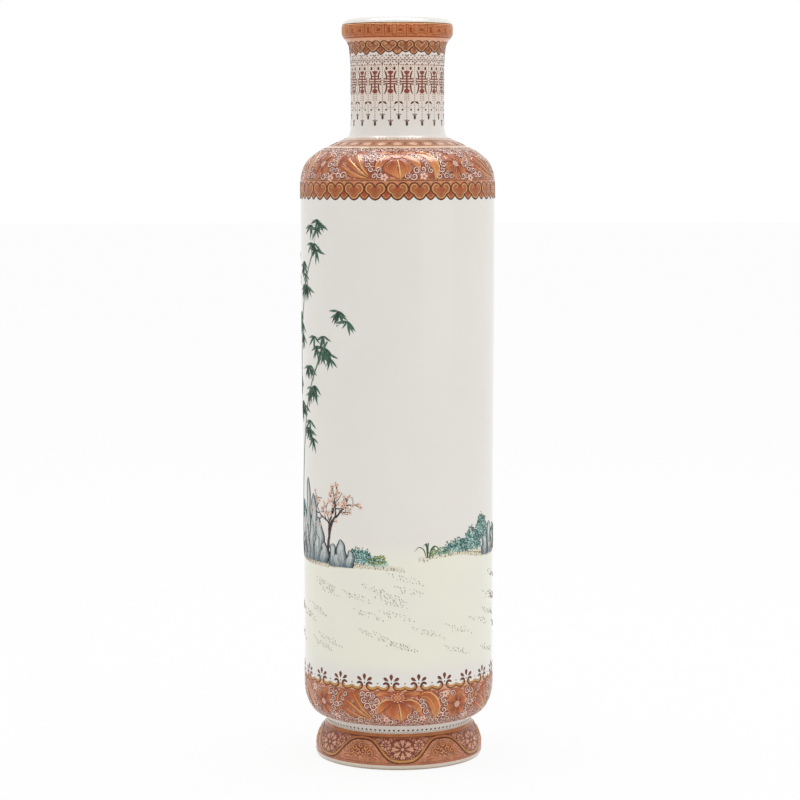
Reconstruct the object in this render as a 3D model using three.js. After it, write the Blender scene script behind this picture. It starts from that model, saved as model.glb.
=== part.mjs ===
// A tall cylindrical porcelain vase, 300 mm high, standing on a splayed foot ring.
//
// Such a vase isn't thrown in one go. The potter throws short sections, turns them true and lutes them
// together with slip, end face to end face, before the glaze goes on. From the table up they are the
// splayed foot ring, the bowl that holds the floor, two lengths of the cylinder, the shoulder, the neck
// and the mouth with its rolled rim. Each section here is one solid of revolution about +Z, in
// millimetres, and meets the next one on a flat ring. The origin is at the middle of the standing face.

import * as THREE from "three";

// Heights of the sections, and of the forms within them.
const footHeight = 14.4;
const bowlBandHeight = 3.4; // the plain band above the foot
const bowlCurveHeight = 12.9; // the round underside of the body
const bowlCollarHeight = 2.3; // the straight end that takes the cylinder
const lowerCylinderHeight = 97;
const upperCylinderHeight = 98;
const shoulderUprightHeight = 4;
const shoulderRise = 20.35; // the sweep from the upright wall to the neck's root
const neckRootHeight = 7.15; // the hollow curve into the neck
const neckHeight = 20.5;
const flareHeight = 9.6; // the neck widens over this height below the rim
const rimUnderHeight = 3.5; // the sloping underside of the rim
const rimFaceHeight = 3.5; // the upright face of the rim
const lipHeight = 3.4; // the round white lip

// Outer radii, and how far the forms next to them stand in or out.
const bodyRadius = 39.55; // at the shoulder
const bodyMiddleTaper = 0.6; // how much narrower the wall is at the joint of its two lengths
const bodyBottomTaper = 0.83; // and at the bowl
const footRadius = 34.2;
const waistInset = 4.8;
const bandFlare = 2.1; // how much the plain band widens above the waist
const neckRadius = 18.95;
const neckRootSwell = 1.95;
const flareSwell = 0.65;
const rimOverhang = 2.9; // how far the rim stands out over the flare
const lipCrestInset = 3.6; // from the rim's face in to where the lip is highest

// Walls and the floor.
const footWallBottom = 5.2;
const footWallTop = 3.4;
const bodyWall = 3.2;
const neckWall = 2.75;
const floorThickness = 5;
const floorBendWidth = 8.5; // the inside curve between the flat floor and the wall

// Bends, each as the length that it takes off either side of its corner.
const footEdgeBend = 2;
const footInnerBend = 0.7;
const footSwellBend = 5.9;
const footSwellDrop = 5; // the corner that this swell rounds lies so far below the waist
const rimUnderBend = 1.5;

// The shoulder's sweep leaves the wall upright and meets the neck's root on this slope. Its control
// arms are shares of the sweep's rise and of its reach.
const shoulderSlopeDegrees = 24;
const uprightArmShare = 0.57;
const slopeArmShare = 0.776;

// Facets.
const facets = 56;
const bendSteps = 4;
const curveSteps = 7;

const point = (radius, height) => new THREE.Vector2(radius, height);

// The points of a corner rounded by a quadratic curve that starts and ends one bend from it, or where
// its side ends if that comes first.
function bent(before, corner, after, bend, steps = bendSteps) {
  const start = corner.clone().lerp(before, Math.min(bend / corner.distanceTo(before), 1));
  const end = corner.clone().lerp(after, Math.min(bend / corner.distanceTo(after), 1));
  return new THREE.QuadraticBezierCurve(start, corner, end).getPoints(steps);
}

// Points along a part of an ellipse about a centre, between two angles in degrees.
function ellipsePoints(centre, acrossRadius, upRadius, fromDegrees, toDegrees, steps = curveSteps) {
  const points = [];
  for (let i = 0; i <= steps; i += 1) {
    const angle = THREE.MathUtils.degToRad(THREE.MathUtils.lerp(fromDegrees, toDegrees, i / steps));
    const across = acrossRadius * Math.cos(angle);
    points.push(point(centre.x + across, centre.y + upRadius * Math.sin(angle)));
  }
  return points;
}

// One section: an outline, anticlockwise with the axis on its left, turned about +Z. An outline that
// doesn't reach the axis closes on itself.
function section(name, colour, outline) {
  const onAxis = outline[0].x === 0;
  const points = onAxis ? outline : [...outline, outline[0].clone()];
  const geometry = new THREE.LatheGeometry(points, facets);
  geometry.rotateX(Math.PI / 2);
  const material = new THREE.MeshStandardMaterial({ color: colour, roughness: 0.18, metalness: 0 });
  const mesh = new THREE.Mesh(geometry, material);
  mesh.name = name;
  return mesh;
}

// Levels of the joints and of the forms between them, from the table up.
const bandTop = footHeight + bowlBandHeight;
const bowlCurveTop = bandTop + bowlCurveHeight;
const bowlTop = bowlCurveTop + bowlCollarHeight;
const cylinderJoint = bowlTop + lowerCylinderHeight;
const cylinderTop = cylinderJoint + upperCylinderHeight;
const sweepBottom = cylinderTop + shoulderUprightHeight;
const sweepTop = sweepBottom + shoulderRise;
const neckBottom = sweepTop + neckRootHeight;
const neckTop = neckBottom + neckHeight;
const flareTop = neckTop + flareHeight;
const rimBottom = flareTop + rimUnderHeight;
const lipBottom = rimBottom + rimFaceHeight;

// Radii that follow from those above.
const bodyMiddleRadius = bodyRadius - bodyMiddleTaper;
const bodyBottomRadius = bodyRadius - bodyBottomTaper;
const waistRadius = footRadius - waistInset;
const neckRootRadius = neckRadius + neckRootSwell;
const boreRadius = neckRadius - neckWall;

// The splayed foot: a swelling outside, a plain sloping inside and a flat ring to stand on.
function footRing() {
  const standingInner = point(footRadius - footWallBottom, 0);
  const standingOuter = point(footRadius, 0);
  const swellCorner = point(footRadius, footHeight - footSwellDrop);
  const waist = point(waistRadius, footHeight);
  const innerTop = point(waistRadius - footWallTop, footHeight);
  return section("foot_ring", 0xbd7750, [
    ...bent(innerTop, standingInner, standingOuter, footInnerBend, 2),
    ...bent(standingInner, standingOuter, swellCorner, footEdgeBend),
    ...bent(standingOuter, swellCorner, waist, footSwellBend, curveSteps),
    waist,
    innerTop,
  ]);
}

// The bowl that closes the vase below: its floor, the plain band and the round underside of the body.
function baseBowl() {
  const bandRadius = waistRadius + bandFlare;
  const innerRadius = bodyBottomRadius - bodyWall;
  const floorRadius = innerRadius - floorBendWidth;
  const floorLevel = footHeight + floorThickness;
  const outerCentre = point(bandRadius, bowlCurveTop);
  const innerCentre = point(floorRadius, bowlCurveTop);
  return section("base_bowl", 0xb97a5a, [
    point(0, footHeight),
    point(waistRadius, footHeight),
    ...ellipsePoints(outerCentre, bodyBottomRadius - bandRadius, bowlCurveHeight, -90, 0),
    point(bodyBottomRadius, bowlTop),
    point(innerRadius, bowlTop),
    ...ellipsePoints(innerCentre, floorBendWidth, bowlCurveTop - floorLevel, 0, -90),
    point(0, floorLevel),
  ]);
}

// A plain length of the cylinder between two joints.
function cylinder(name, bottom, bottomRadius, top, topRadius) {
  return section(name, 0xe6e1d8, [
    point(bottomRadius, bottom),
    point(topRadius, top),
    point(topRadius - bodyWall, top),
    point(bottomRadius - bodyWall, bottom),
  ]);
}

// The shoulder: an upright start, one long sweep inwards and a hollow curve into the neck. The inside
// follows the outside one wall away, so its control arms are shorter by what the wall takes at a corner.
function shoulder() {
  const slope = THREE.MathUtils.degToRad(shoulderSlopeDegrees);
  const reach = bodyRadius - neckRootRadius;
  const uprightArm = uprightArmShare * shoulderRise;
  const slopeArm = (slopeArmShare * reach) / Math.cos(slope);
  const shortening = bodyWall * Math.tan((Math.PI / 2 - slope) / 2);

  const wallTop = point(bodyRadius, sweepBottom);
  const root = point(neckRootRadius, sweepTop);
  const rootCorner = point(neckRadius, sweepTop + (neckRootRadius - neckRadius) * Math.tan(slope));
  const innerWallTop = point(bodyRadius - bodyWall, sweepBottom);
  const innerRoot = point(root.x - bodyWall * Math.sin(slope), root.y - bodyWall * Math.cos(slope));
  const innerCorner = point(boreRadius, innerRoot.y + (innerRoot.x - boreRadius) * Math.tan(slope));

  const sweep = (start, end, rising, sloping) => {
    const startArm = point(start.x, start.y + rising);
    const endArm = point(end.x + sloping * Math.cos(slope), end.y - sloping * Math.sin(slope));
    return new THREE.CubicBezierCurve(start, startArm, endArm, end);
  };
  const outerSweep = sweep(wallTop, root, uprightArm, slopeArm);
  const innerSweep = sweep(innerWallTop, innerRoot, uprightArm - shortening, slopeArm - shortening);
  const outerRoot = new THREE.QuadraticBezierCurve(root, rootCorner, point(neckRadius, neckBottom));
  const innerRise = new THREE.QuadraticBezierCurve(point(boreRadius, neckBottom), innerCorner, innerRoot);
  return section("shoulder", 0xbf8465, [
    point(bodyRadius, cylinderTop),
    ...outerSweep.getPoints(2 * curveSteps),
    ...outerRoot.getPoints(curveSteps).slice(1),
    ...innerRise.getPoints(bendSteps),
    ...innerSweep.getPoints(curveSteps).reverse().slice(1),
    point(bodyRadius - bodyWall, cylinderTop),
  ]);
}

// The straight neck.
function neck() {
  return section("neck", 0xe2dcd4, [
    point(neckRadius, neckBottom),
    point(neckRadius, neckTop),
    point(boreRadius, neckTop),
    point(boreRadius, neckBottom),
  ]);
}

// The mouth: the flare below the rim, the rim's sloping underside and upright face, and the round lip.
function mouthRim() {
  const start = point(neckRadius, neckTop);
  const under = point(neckRadius + flareSwell, flareTop);
  const edge = point(under.x + rimOverhang, rimBottom);
  const face = point(edge.x, lipBottom);
  const lipCentre = point(edge.x - lipCrestInset, lipBottom);
  const innerLip = ellipsePoints(lipCentre, lipCentre.x - boreRadius, lipHeight, 90, 180, bendSteps);
  return section("mouth_rim", 0xb8694a, [
    start,
    ...bent(start, under, edge, rimUnderBend),
    ...bent(under, edge, face, rimUnderBend),
    ...ellipsePoints(lipCentre, lipCrestInset, lipHeight, 0, 90),
    ...innerLip.slice(1),
    point(boreRadius, neckTop),
  ]);
}

const vase = new THREE.Group();
vase.add(
  footRing(),
  baseBowl(),
  cylinder("lower_cylinder", bowlTop, bodyBottomRadius, cylinderJoint, bodyMiddleRadius),
  cylinder("upper_cylinder", cylinderJoint, bodyMiddleRadius, cylinderTop, bodyRadius),
  shoulder(),
  neck(),
  mouthRim(),
);

export default vase;
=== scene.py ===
import math
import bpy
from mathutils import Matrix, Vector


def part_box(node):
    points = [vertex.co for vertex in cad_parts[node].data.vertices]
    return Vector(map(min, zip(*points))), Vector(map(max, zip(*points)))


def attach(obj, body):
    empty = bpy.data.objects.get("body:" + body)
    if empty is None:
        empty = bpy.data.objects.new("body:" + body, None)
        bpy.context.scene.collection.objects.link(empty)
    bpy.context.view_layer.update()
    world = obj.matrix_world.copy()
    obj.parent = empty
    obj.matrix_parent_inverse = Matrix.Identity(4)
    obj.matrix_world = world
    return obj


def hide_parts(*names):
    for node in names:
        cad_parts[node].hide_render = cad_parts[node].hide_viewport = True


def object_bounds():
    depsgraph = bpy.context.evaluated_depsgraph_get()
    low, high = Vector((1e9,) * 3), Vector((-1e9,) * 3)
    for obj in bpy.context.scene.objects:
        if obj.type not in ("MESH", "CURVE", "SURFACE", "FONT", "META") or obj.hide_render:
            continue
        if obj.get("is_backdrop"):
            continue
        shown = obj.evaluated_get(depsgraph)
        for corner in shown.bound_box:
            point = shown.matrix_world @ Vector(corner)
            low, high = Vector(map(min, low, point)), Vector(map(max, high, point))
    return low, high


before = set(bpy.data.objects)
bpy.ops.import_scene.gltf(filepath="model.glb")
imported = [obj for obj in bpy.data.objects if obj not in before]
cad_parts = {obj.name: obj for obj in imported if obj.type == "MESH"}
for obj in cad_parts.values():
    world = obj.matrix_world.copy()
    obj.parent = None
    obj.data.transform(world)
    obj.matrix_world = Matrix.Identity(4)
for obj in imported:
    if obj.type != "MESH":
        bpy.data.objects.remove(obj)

from types import SimpleNamespace

import bpy
import numpy as np
from bpy.props import FloatProperty, FloatVectorProperty, IntProperty, PointerProperty
from mathutils import Matrix, Vector

bl_info = {
    "name": "Enamelled cylindrical vase",
    "version": (1, 0, 0),
    "blender": (4, 5, 0),
    "location": "3D View > Sidebar > Vase",
    "description": "Glazed porcelain vase with raised enamel borders and a painted garden",
    "category": "Add Mesh",
}

MM = 0.001  # the shapes below are worked out in millimetres
FRONT = -math.pi / 2  # the angle about +Z that faces the camera
TURN = 2 * math.pi

# The shoulder's sweep leaves the wall upright and ends on this slope. Its two control arms are shares of
# its rise and of its reach.
SLOPE = math.radians(24)
UPRIGHT_ARM, SLOPE_ARM = 0.57, 0.776
FOOT_INNER_BEND = 0.7
TOUCHING = 1e-6  # points no further apart than this, in millimetres, count as one

# How often each border repeats round the vase.
RIM_UNITS, NECK_UNITS, OVALS, LOTUS_UNITS, CLOUD_UNITS, PALMETTES, FOOT_UNITS = 16, 18, 26, 4, 28, 22, 6
NECK_BEADS, WAIST_BEADS, WAIST_DOTS = 92, 98, 212
# The seeds of the random draws; a lotus band takes its height as its own.
GARDEN_SEED, PLUM_SEED, STIPPLE_SEED = 11, 3, 5


def srgb(red, green, blue):
    """A screen colour of 0 to 255 as the linear values that shaders take."""
    c = np.array([red, green, blue]) / 255
    return tuple(float(v) for v in np.where(c <= 0.04045, c / 12.92, ((c + 0.055) / 1.055) ** 2.4))


def top(node):
    """The level of a section's upper end in millimetres."""
    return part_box(node)[1].z / MM


def width(node):
    """The largest radius of a section in millimetres."""
    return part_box(node)[1].x / MM


# The vase's form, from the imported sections.
FOOT_TOP, BOWL_TOP, JOINT, WALL_TOP, SHOULDER_TOP, NECK_TOP, LIP_TOP = map(top, (
    "foot_ring", "base_bowl", "lower_cylinder", "upper_cylinder", "shoulder", "neck", "mouth_rim"))
FOOT_R, BOWL_R, JOINT_R, BODY_R, NECK_R, RIM_R = map(width, (
    "foot_ring", "base_bowl", "lower_cylinder", "shoulder", "neck", "mouth_rim"))


def length(name, millimetres, description):
    """A length that the user can change."""
    return FloatProperty(name=name, description=description, default=millimetres * MM, min=0, precision=5,
                         subtype="DISTANCE", unit="LENGTH")


def colour(name, *screen):
    """A colour that the user can change, from its screen values."""
    return FloatVectorProperty(name=name, description=f"Colour of the {name.lower()}", subtype="COLOR",
                               size=3, min=0, max=1, default=srgb(*screen))


class VaseForm(bpy.types.PropertyGroup):
    """Lengths of the forms that the solids' boxes don't give."""

    inset: length("Glaze inset", 0.19, "How far the glaze lies inside the solids, below the enamel")
    waist: length("Waist inset", 4.8, "How far the waist stands in from the foot")
    band_height: length("Waist band height", 3.4, "Height of the plain band above the foot")
    band_flare: length("Waist band flare", 2.1, "How much the plain band widens upwards")
    collar: length("Bowl collar", 2.3, "Straight end of the bowl")
    swell: length("Foot swell", 5.9, "Bend of the foot's swell")
    swell_drop: length("Foot swell drop", 5.0, "How far below the waist the foot's swell turns")
    edge: length("Foot edge", 2.0, "Bend of the foot's standing edge")
    upright: length("Shoulder upright", 4.0, "Straight start of the shoulder")
    rise: length("Shoulder rise", 20.35, "Height of the shoulder's sweep")
    root: length("Neck root", 1.95, "How far the sweep ends outside the neck")
    flare: length("Neck flare", 0.65, "How much the neck widens below the rim")
    flare_height: length("Neck flare height", 9.6, "Height of the neck's flare")
    under: length("Rim underside", 3.5, "Height of the rim's sloping underside")
    rim_bend: length("Rim bend", 1.5, "Bend at the rim's underside")
    lip: length("Lip height", 3.4, "Height of the round lip")
    crest: length("Lip crest", 3.6, "How far the lip's crest stands in from the rim")
    wall: length("Wall", 3.2, "Thickness of the body's wall")
    neck_wall: length("Neck wall", 2.75, "Thickness of the neck's wall")
    floor: length("Floor", 5.0, "Thickness of the floor")
    floor_bend: length("Floor bend", 8.5, "Width of the inside curve between the floor and the wall")
    foot_wall: length("Foot wall", 5.2, "Thickness of the foot where it stands")
    foot_wall_top: length("Foot wall top", 3.4, "Thickness of the foot at the waist")
    segments: IntProperty(name="Segments", description="Facets around the vase", default=240, min=24)


class VaseColours(bpy.types.PropertyGroup):
    """Colours of the glaze and of the enamels."""

    glaze: colour("Glaze", 229, 225, 218)
    iron: colour("Iron red", 168, 72, 28)
    iron_light: colour("Light iron red", 190, 118, 70)
    brown: colour("Brown outline", 84, 34, 10)
    ochre: colour("Ochre", 186, 118, 66)
    gold: colour("Gilding", 238, 186, 128)
    peach: colour("Peach", 228, 170, 134)
    pale: colour("Pale pink", 246, 222, 206)
    wash: colour("Ground wash", 233, 232, 214)


def setting_names(group):
    """The names of a group's own settings."""
    return [key for key in group.bl_rna.properties.keys() if key not in ("rna_type", "name")]


def form_lengths():
    """The form's lengths in millimetres."""
    form = bpy.context.scene.vase_form
    names = [name for name in setting_names(form) if name != "segments"]
    return SimpleNamespace(**{name: getattr(form, name) / MM for name in names})


# Outlines in the plane of radius and height.

def bezier(count, *controls):
    """Points of the Bezier curve from the first control to the last: with n + 1 controls, the k-th one has
    the weight (n over k) (1-t)^(n-k) t^k."""
    t, n = np.linspace(0, 1, count)[:, None], len(controls) - 1
    return sum(math.comb(n, k) * (1 - t) ** (n - k) * t ** k * p for k, p in enumerate(controls))


def bend(before, corner, after, size, count):
    """A corner rounded by a quadratic curve that starts and ends one size from it."""
    before, corner, after = (np.array(p, float) for p in (before, corner, after))
    start, end = (corner + (p - corner) * min(size / np.linalg.norm(p - corner), 1) for p in (before, after))
    return bezier(count, start, corner, end)


def ellipse(centre, across, up, first, last, count):
    """Points centre + (across cos a, up sin a) for a between two angles in degrees."""
    a = np.radians(np.linspace(first, last, count))
    return np.stack([centre[0] + across * np.cos(a), centre[1] + up * np.sin(a)], 1)


def stacked(parts):
    """Runs of points as one path."""
    return np.vstack([np.asarray(part, float) for part in parts])


def run(path):
    """The length along a path at each of its points."""
    return np.r_[0, np.cumsum(np.linalg.norm(np.diff(path, axis=0), axis=1))]


class Outline:
    """The vase's outlines, and how to lay flat drawings on the outer one.

    A flat drawing has x along the wall to the viewer's right, y up the wall along the outline and a lift
    off the glaze. A point goes to angle front + x / radius, to the outline's point that lies y further
    along it than the drawing's level, and out along the normal there by its lift."""

    def __init__(self):
        f = form_lengths()
        foot_inside, foot_edge = (FOOT_R - f.foot_wall, 0), (FOOT_R, 0)
        waist, swell = (FOOT_R - f.waist, FOOT_TOP), (FOOT_R, FOOT_TOP - f.swell_drop)
        band_r, band_top = waist[0] + f.band_flare, FOOT_TOP + f.band_height
        curve_top = BOWL_TOP - f.collar
        sweep_start = np.array([BODY_R, WALL_TOP + f.upright])
        root = np.array([NECK_R + f.root, sweep_start[1] + f.rise])
        reach = SLOPE_ARM * (BODY_R - root[0])
        slope_arm, upright_arm = np.array([reach, -reach * math.tan(SLOPE)]), UPRIGHT_ARM * f.rise
        root_corner = np.array([NECK_R, root[1] + f.root * math.tan(SLOPE)])
        neck_top, under = (NECK_R, NECK_TOP), (NECK_R + f.flare, NECK_TOP + f.flare_height)
        edge, face = (RIM_R, under[1] + f.under), (RIM_R, LIP_TOP - f.lip)
        lip_centre = (RIM_R - f.crest, face[1])
        self.sections = {
            "foot_ring": [bend(foot_inside, foot_edge, swell, f.edge, 12),
                          bend(foot_edge, swell, waist, f.swell, 20), [waist]],
            "base_bowl": [[waist],
                          ellipse((band_r, curve_top), BOWL_R - band_r, curve_top - band_top, -90, 0, 28),
                          [(BOWL_R, BOWL_TOP)]],
            "lower_cylinder": [[(BOWL_R, BOWL_TOP), (JOINT_R, JOINT)]],
            "upper_cylinder": [[(JOINT_R, JOINT), (BODY_R, WALL_TOP)]],
            "shoulder": [[(BODY_R, WALL_TOP)],
                         bezier(44, sweep_start, sweep_start + [0, upright_arm], root + slope_arm, root),
                         bezier(20, root, root_corner, np.array([NECK_R, SHOULDER_TOP]))[1:]],
            "neck": [[(NECK_R, SHOULDER_TOP), neck_top]],
            "mouth_rim": [[neck_top], bend(neck_top, under, edge, f.rim_bend, 10),
                          bend(under, edge, face, f.rim_bend, 12),
                          ellipse(lip_centre, f.crest, f.lip, 0, 90, 20)],
        }
        for node, parts in self.sections.items():
            points = stacked(parts)
            points[:, 0] = np.maximum(points[:, 0] - f.inset, 0)
            self.sections[node] = points
        every = np.vstack(list(self.sections.values()))
        self.points = every[np.r_[True, np.diff(run(every)) > TOUCHING]]
        self.along = run(self.points)
        tangent = np.gradient(self.points, self.along, axis=0)
        tangent /= np.linalg.norm(tangent, axis=1)[:, None]
        self.normals = np.stack([tangent[:, 1], -tangent[:, 0]], 1)

        # The inside follows one wall away, so the sweep's arms are shorter by what a wall takes at a corner.
        bore, inner_r = NECK_R - f.neck_wall, BODY_R - f.wall
        inner_root = root - f.wall * np.array([math.sin(SLOPE), math.cos(SLOPE)])
        inner_corner = np.array([bore, inner_root[1] + (inner_root[0] - bore) * math.tan(SLOPE)])
        inner_top = np.array([inner_r, sweep_start[1]])
        short = f.wall * math.tan((math.pi / 2 - SLOPE) / 2)
        inner_arm = slope_arm - short * np.array([math.cos(SLOPE), -math.sin(SLOPE)])
        inner_waist = (waist[0] - f.foot_wall_top, FOOT_TOP)
        floor_r, floor_z = BOWL_R - f.wall - f.floor_bend, FOOT_TOP + f.floor
        self.insides = {
            "foot_ring": [[inner_waist], bend(inner_waist, foot_inside, foot_edge, FOOT_INNER_BEND, 4)],
            "base_bowl": [[(BOWL_R - f.wall, BOWL_TOP)],
                          ellipse((floor_r, curve_top), f.floor_bend, curve_top - floor_z, 0, -90, 20),
                          [(0, floor_z)]],
            "lower_cylinder": [[(JOINT_R - f.wall, JOINT), (BOWL_R - f.wall, BOWL_TOP)]],
            "upper_cylinder": [[(inner_r, WALL_TOP), (JOINT_R - f.wall, JOINT)]],
            "shoulder": [bezier(12, np.array([bore, SHOULDER_TOP]), inner_corner, inner_root),
                         bezier(24, inner_root, inner_root + inner_arm,
                                inner_top + [0, upright_arm - short], inner_top)[1:],
                         [(inner_r, WALL_TOP)]],
            "neck": [[(bore, NECK_TOP), (bore, SHOULDER_TOP)]],
            "mouth_rim": [ellipse(lip_centre, lip_centre[0] - bore, f.lip, 90, 180, 16)[1:],
                          [(bore, NECK_TOP)]],
        }

    def section(self, node):
        """A section's whole outline: up its outside, down its inside. The bowl's is open at the axis."""
        start = [[(0, FOOT_TOP)]] if node == "base_bowl" else []
        return stacked([*start, self.sections[node], *self.insides[node]])

    def level(self, z):
        """The length along the outline at a height."""
        return np.interp(z, self.points[:, 1], self.along)

    def rise(self, start, *heights):
        """How far along the outline some heights lie from a starting height."""
        return [self.level(z) - self.level(start) for z in heights]

    def radius(self, z):
        """The glaze's radius at a height."""
        return float(np.interp(z, self.points[:, 1], self.points[:, 0]))

    def raised(self, s, lift):
        """Radius and height at lengths along the outline, out along the normal by a lift."""
        r, z, out, up = (np.interp(s, self.along, c) for c in (*self.points.T, *self.normals.T))
        return r + out * lift, z + up * lift

    def place(self, flat, z, radius):
        """Points of a flat drawing (x, y, lift) whose y starts at height z, laid on the vase."""
        r, height = self.raised(self.level(z) + flat[:, 1], flat[:, 2])
        angle = FRONT + flat[:, 0] / radius
        return np.stack([r * np.cos(angle), r * np.sin(angle), height], 1)


# Flat drawings: each is (points, quads, triangles, tones), with x, y and lift in millimetres. An edge and
# an underside lie just below the glaze, so that each skin is closed.
EDGE, UNDERSIDE, RING_UNDERSIDE = -0.02, -0.06, -0.08


def grid_faces(rows, columns, closed=False):
    """Quads between the points of a grid. Its last column meets the first, and so do its rows if closed."""
    i, j = np.meshgrid(np.arange(rows if closed else rows - 1), np.arange(columns), indexing="ij")
    row, up, after = i * columns, (i + 1) % rows * columns, (j + 1) % columns
    return np.stack([row + j, row + after, up + after, up + j], 2).reshape(-1, 4)


def joined(drawings):
    """Several drawings as one."""
    points, quads, tris, tones = zip(*drawings)
    base = np.r_[0, np.cumsum([len(p) for p in points])]
    return (np.vstack(points), np.vstack([q + b for q, b in zip(quads, base)]),
            np.vstack([t + b for t, b in zip(tris, base)]), np.concatenate(tones))


def copies(drawing, x, y=0.0, turn=0.0, size=1.0, tone=0.0):
    """The drawing scaled by each size, turned by each angle and moved to each place, all as one drawing. A
    tone is added to the drawing's own."""
    p, q, t, tones = drawing
    x, y, turn, size, tone = np.broadcast_arrays(np.atleast_1d(x).astype(float), y, turn, size, tone)
    c, s = np.cos(turn)[:, None], np.sin(turn)[:, None]
    u, v = p[:, 0] * size[:, None], p[:, 1] * size[:, None]
    lift = np.broadcast_to(p[:, 2], u.shape)
    points = np.stack([x[:, None] + c * u - s * v, y[:, None] + s * u + c * v, lift], 2).reshape(-1, 3)
    shift = (np.arange(len(x)) * len(p))[:, None, None]
    return points, (q + shift).reshape(-1, 4), (t + shift).reshape(-1, 3), (tones + tone[:, None]).ravel()


def moved(drawing, x=0.0, y=0.0, across=1.0, up=1.0):
    """The drawing scaled and moved; a negative scale mirrors it and turns its faces back."""
    p, q, t, tones = drawing
    p = p * [across, up, 1] + [x, y, 0]
    if across * up < 0:
        q, t = q[:, ::-1], t[:, ::-1]
    return p, q, t, tones


def both_sides(drawing):
    """The drawing with its mirror image about x = 0."""
    return joined([drawing, moved(drawing, across=-1)])


def read(path, at):
    """The path's points at lengths along it."""
    s = run(path)
    return np.stack([np.interp(at, s, path[:, 0]), np.interp(at, s, path[:, 1])], 1)


def even(path, count):
    """The path resampled at even steps along its length."""
    path = np.asarray(path, float)
    return read(path, np.linspace(0, run(path)[-1], count))


def closer(path, step):
    """The path with points added to its sides, at most a step apart, so that it follows the round wall."""
    path = np.asarray(path, float)
    s = run(path)
    at = np.unique(np.r_[s, np.linspace(0, s[-1], int(s[-1] / step) + 2)])
    return read(path, at[np.r_[True, np.diff(at) > TOUCHING]])


def smooth(points, count=24):
    """A curve through the points, cubic between them with slopes set by their neighbours, in even steps."""
    p = np.asarray(points, float)
    q = np.vstack([2 * p[0] - p[1], p, 2 * p[-1] - p[-2]])
    t = np.linspace(0, len(p) - 1, 12 * len(p))
    i = np.minimum(t.astype(int), len(p) - 2)
    f = (t - i)[:, None]
    a, b, c, d = q[i], q[i + 1], q[i + 2], q[i + 3]
    xy = b + 0.5 * f * (c - a + f * (2 * a - 5 * b + 4 * c - d + f * (3 * b - a - 3 * c + d)))
    return even(xy, count)


def arch(half):
    """A path that goes on as the mirror image of itself, from its last point on x = 0."""
    half = np.asarray(half, float)
    return np.vstack([half, (half[:-1] * [-1, 1])[::-1]])


def mirrored_outline(half):
    """A closed anticlockwise outline from its right half, given from the bottom to the top."""
    half = np.asarray(half, float)
    return np.vstack([half, (half * [-1, 1])[::-1]])


def angles(count):
    """Evenly spread angles, from 0."""
    return np.arange(count) * TURN / count


def round_outline(across, up, count=16):
    """Points (across cos a, up sin a) at evenly spread angles a."""
    a = angles(count)
    return np.stack([across * np.cos(a), up * np.sin(a)], 1)


def spiral(radius, turns, count=16, inner=0.12):
    """A path that winds in from the radius: its distance shrinks evenly with its angle."""
    t = np.linspace(0, 1, count)
    r, a = radius * (1 - (1 - inner) * t), TURN * turns * t
    return np.stack([r * np.cos(a), r * np.sin(a)], 1)


def controls(values, count):
    """A few values spread evenly along a stroke, read at every step."""
    values = np.atleast_1d(values).astype(float)
    return np.interp(np.linspace(0, 1, count), np.linspace(0, 1, len(values)), values)


def web(right, left, lift=0.05, crown=0.05, columns=3, tone=0.0, edge_tone=0.0):
    """Enamel between two edges. A column at share c, from -1 to 1, lies that far across from the right edge
    to the left one, and its lift is lift + crown (1 - c²)."""
    right, left = np.asarray(right, float), np.asarray(left, float)
    n, k = len(right), columns + 1
    c = np.linspace(-1, 1, columns)
    share = (c + 1) / 2
    flat = right[:, None] * (1 - share)[:, None] + left[:, None] * share[:, None]
    height = lift + crown * (1 - c ** 2)
    height[[0, -1]] = EDGE
    skin = np.concatenate([flat, np.broadcast_to(height[:, None], (n, columns, 1))], 2)
    under = np.concatenate([(right + left) / 2, np.full((n, 1), UNDERSIDE)], 1)[:, None]
    points = np.concatenate([skin, under], 1).reshape(-1, 3)
    quads = grid_faces(n, k)[:, [0, 3, 2, 1]]
    fan = np.stack([np.zeros(k - 2, int), np.arange(1, k - 1), np.arange(2, k)], 1)
    tones = controls(tone, n)[:, None] + edge_tone * np.r_[c ** 2, 1]
    return points, quads, np.vstack([fan, fan[:, ::-1] + (n - 1) * k]), tones.ravel()


def left_of(path):
    """The unit normals to the left of a path."""
    way = np.gradient(path, axis=0)
    way /= np.maximum(np.linalg.norm(way, axis=1), 1e-9)[:, None]
    return np.stack([-way[:, 1], way[:, 0]], 1)


def stroke(path, size, lift=0.05, crown=0.05, columns=3, tone=0.0, edge_tone=0.0):
    """A brush stroke: the path with half its width to each side. Width and tone may change along it."""
    path = np.asarray(path, float)
    side = left_of(path) * controls(size, len(path))[:, None] / 2
    return web(path - side, path + side, lift, crown, columns, tone, edge_tone)


def straight(points, size, step=0.6, **settings):
    """A stroke along straight sides."""
    return stroke(closer(points, step), size, **settings)


def drawn(points, size, **settings):
    """A smooth stroke through a few points."""
    return stroke(smooth(points, max(4 * len(points), 8)), size, **settings)


def closed_stroke(outline, size, **settings):
    """A stroke along a closed outline, whose ends meet."""
    return stroke(np.vstack([outline, outline[:2]]), size, **settings)


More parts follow.
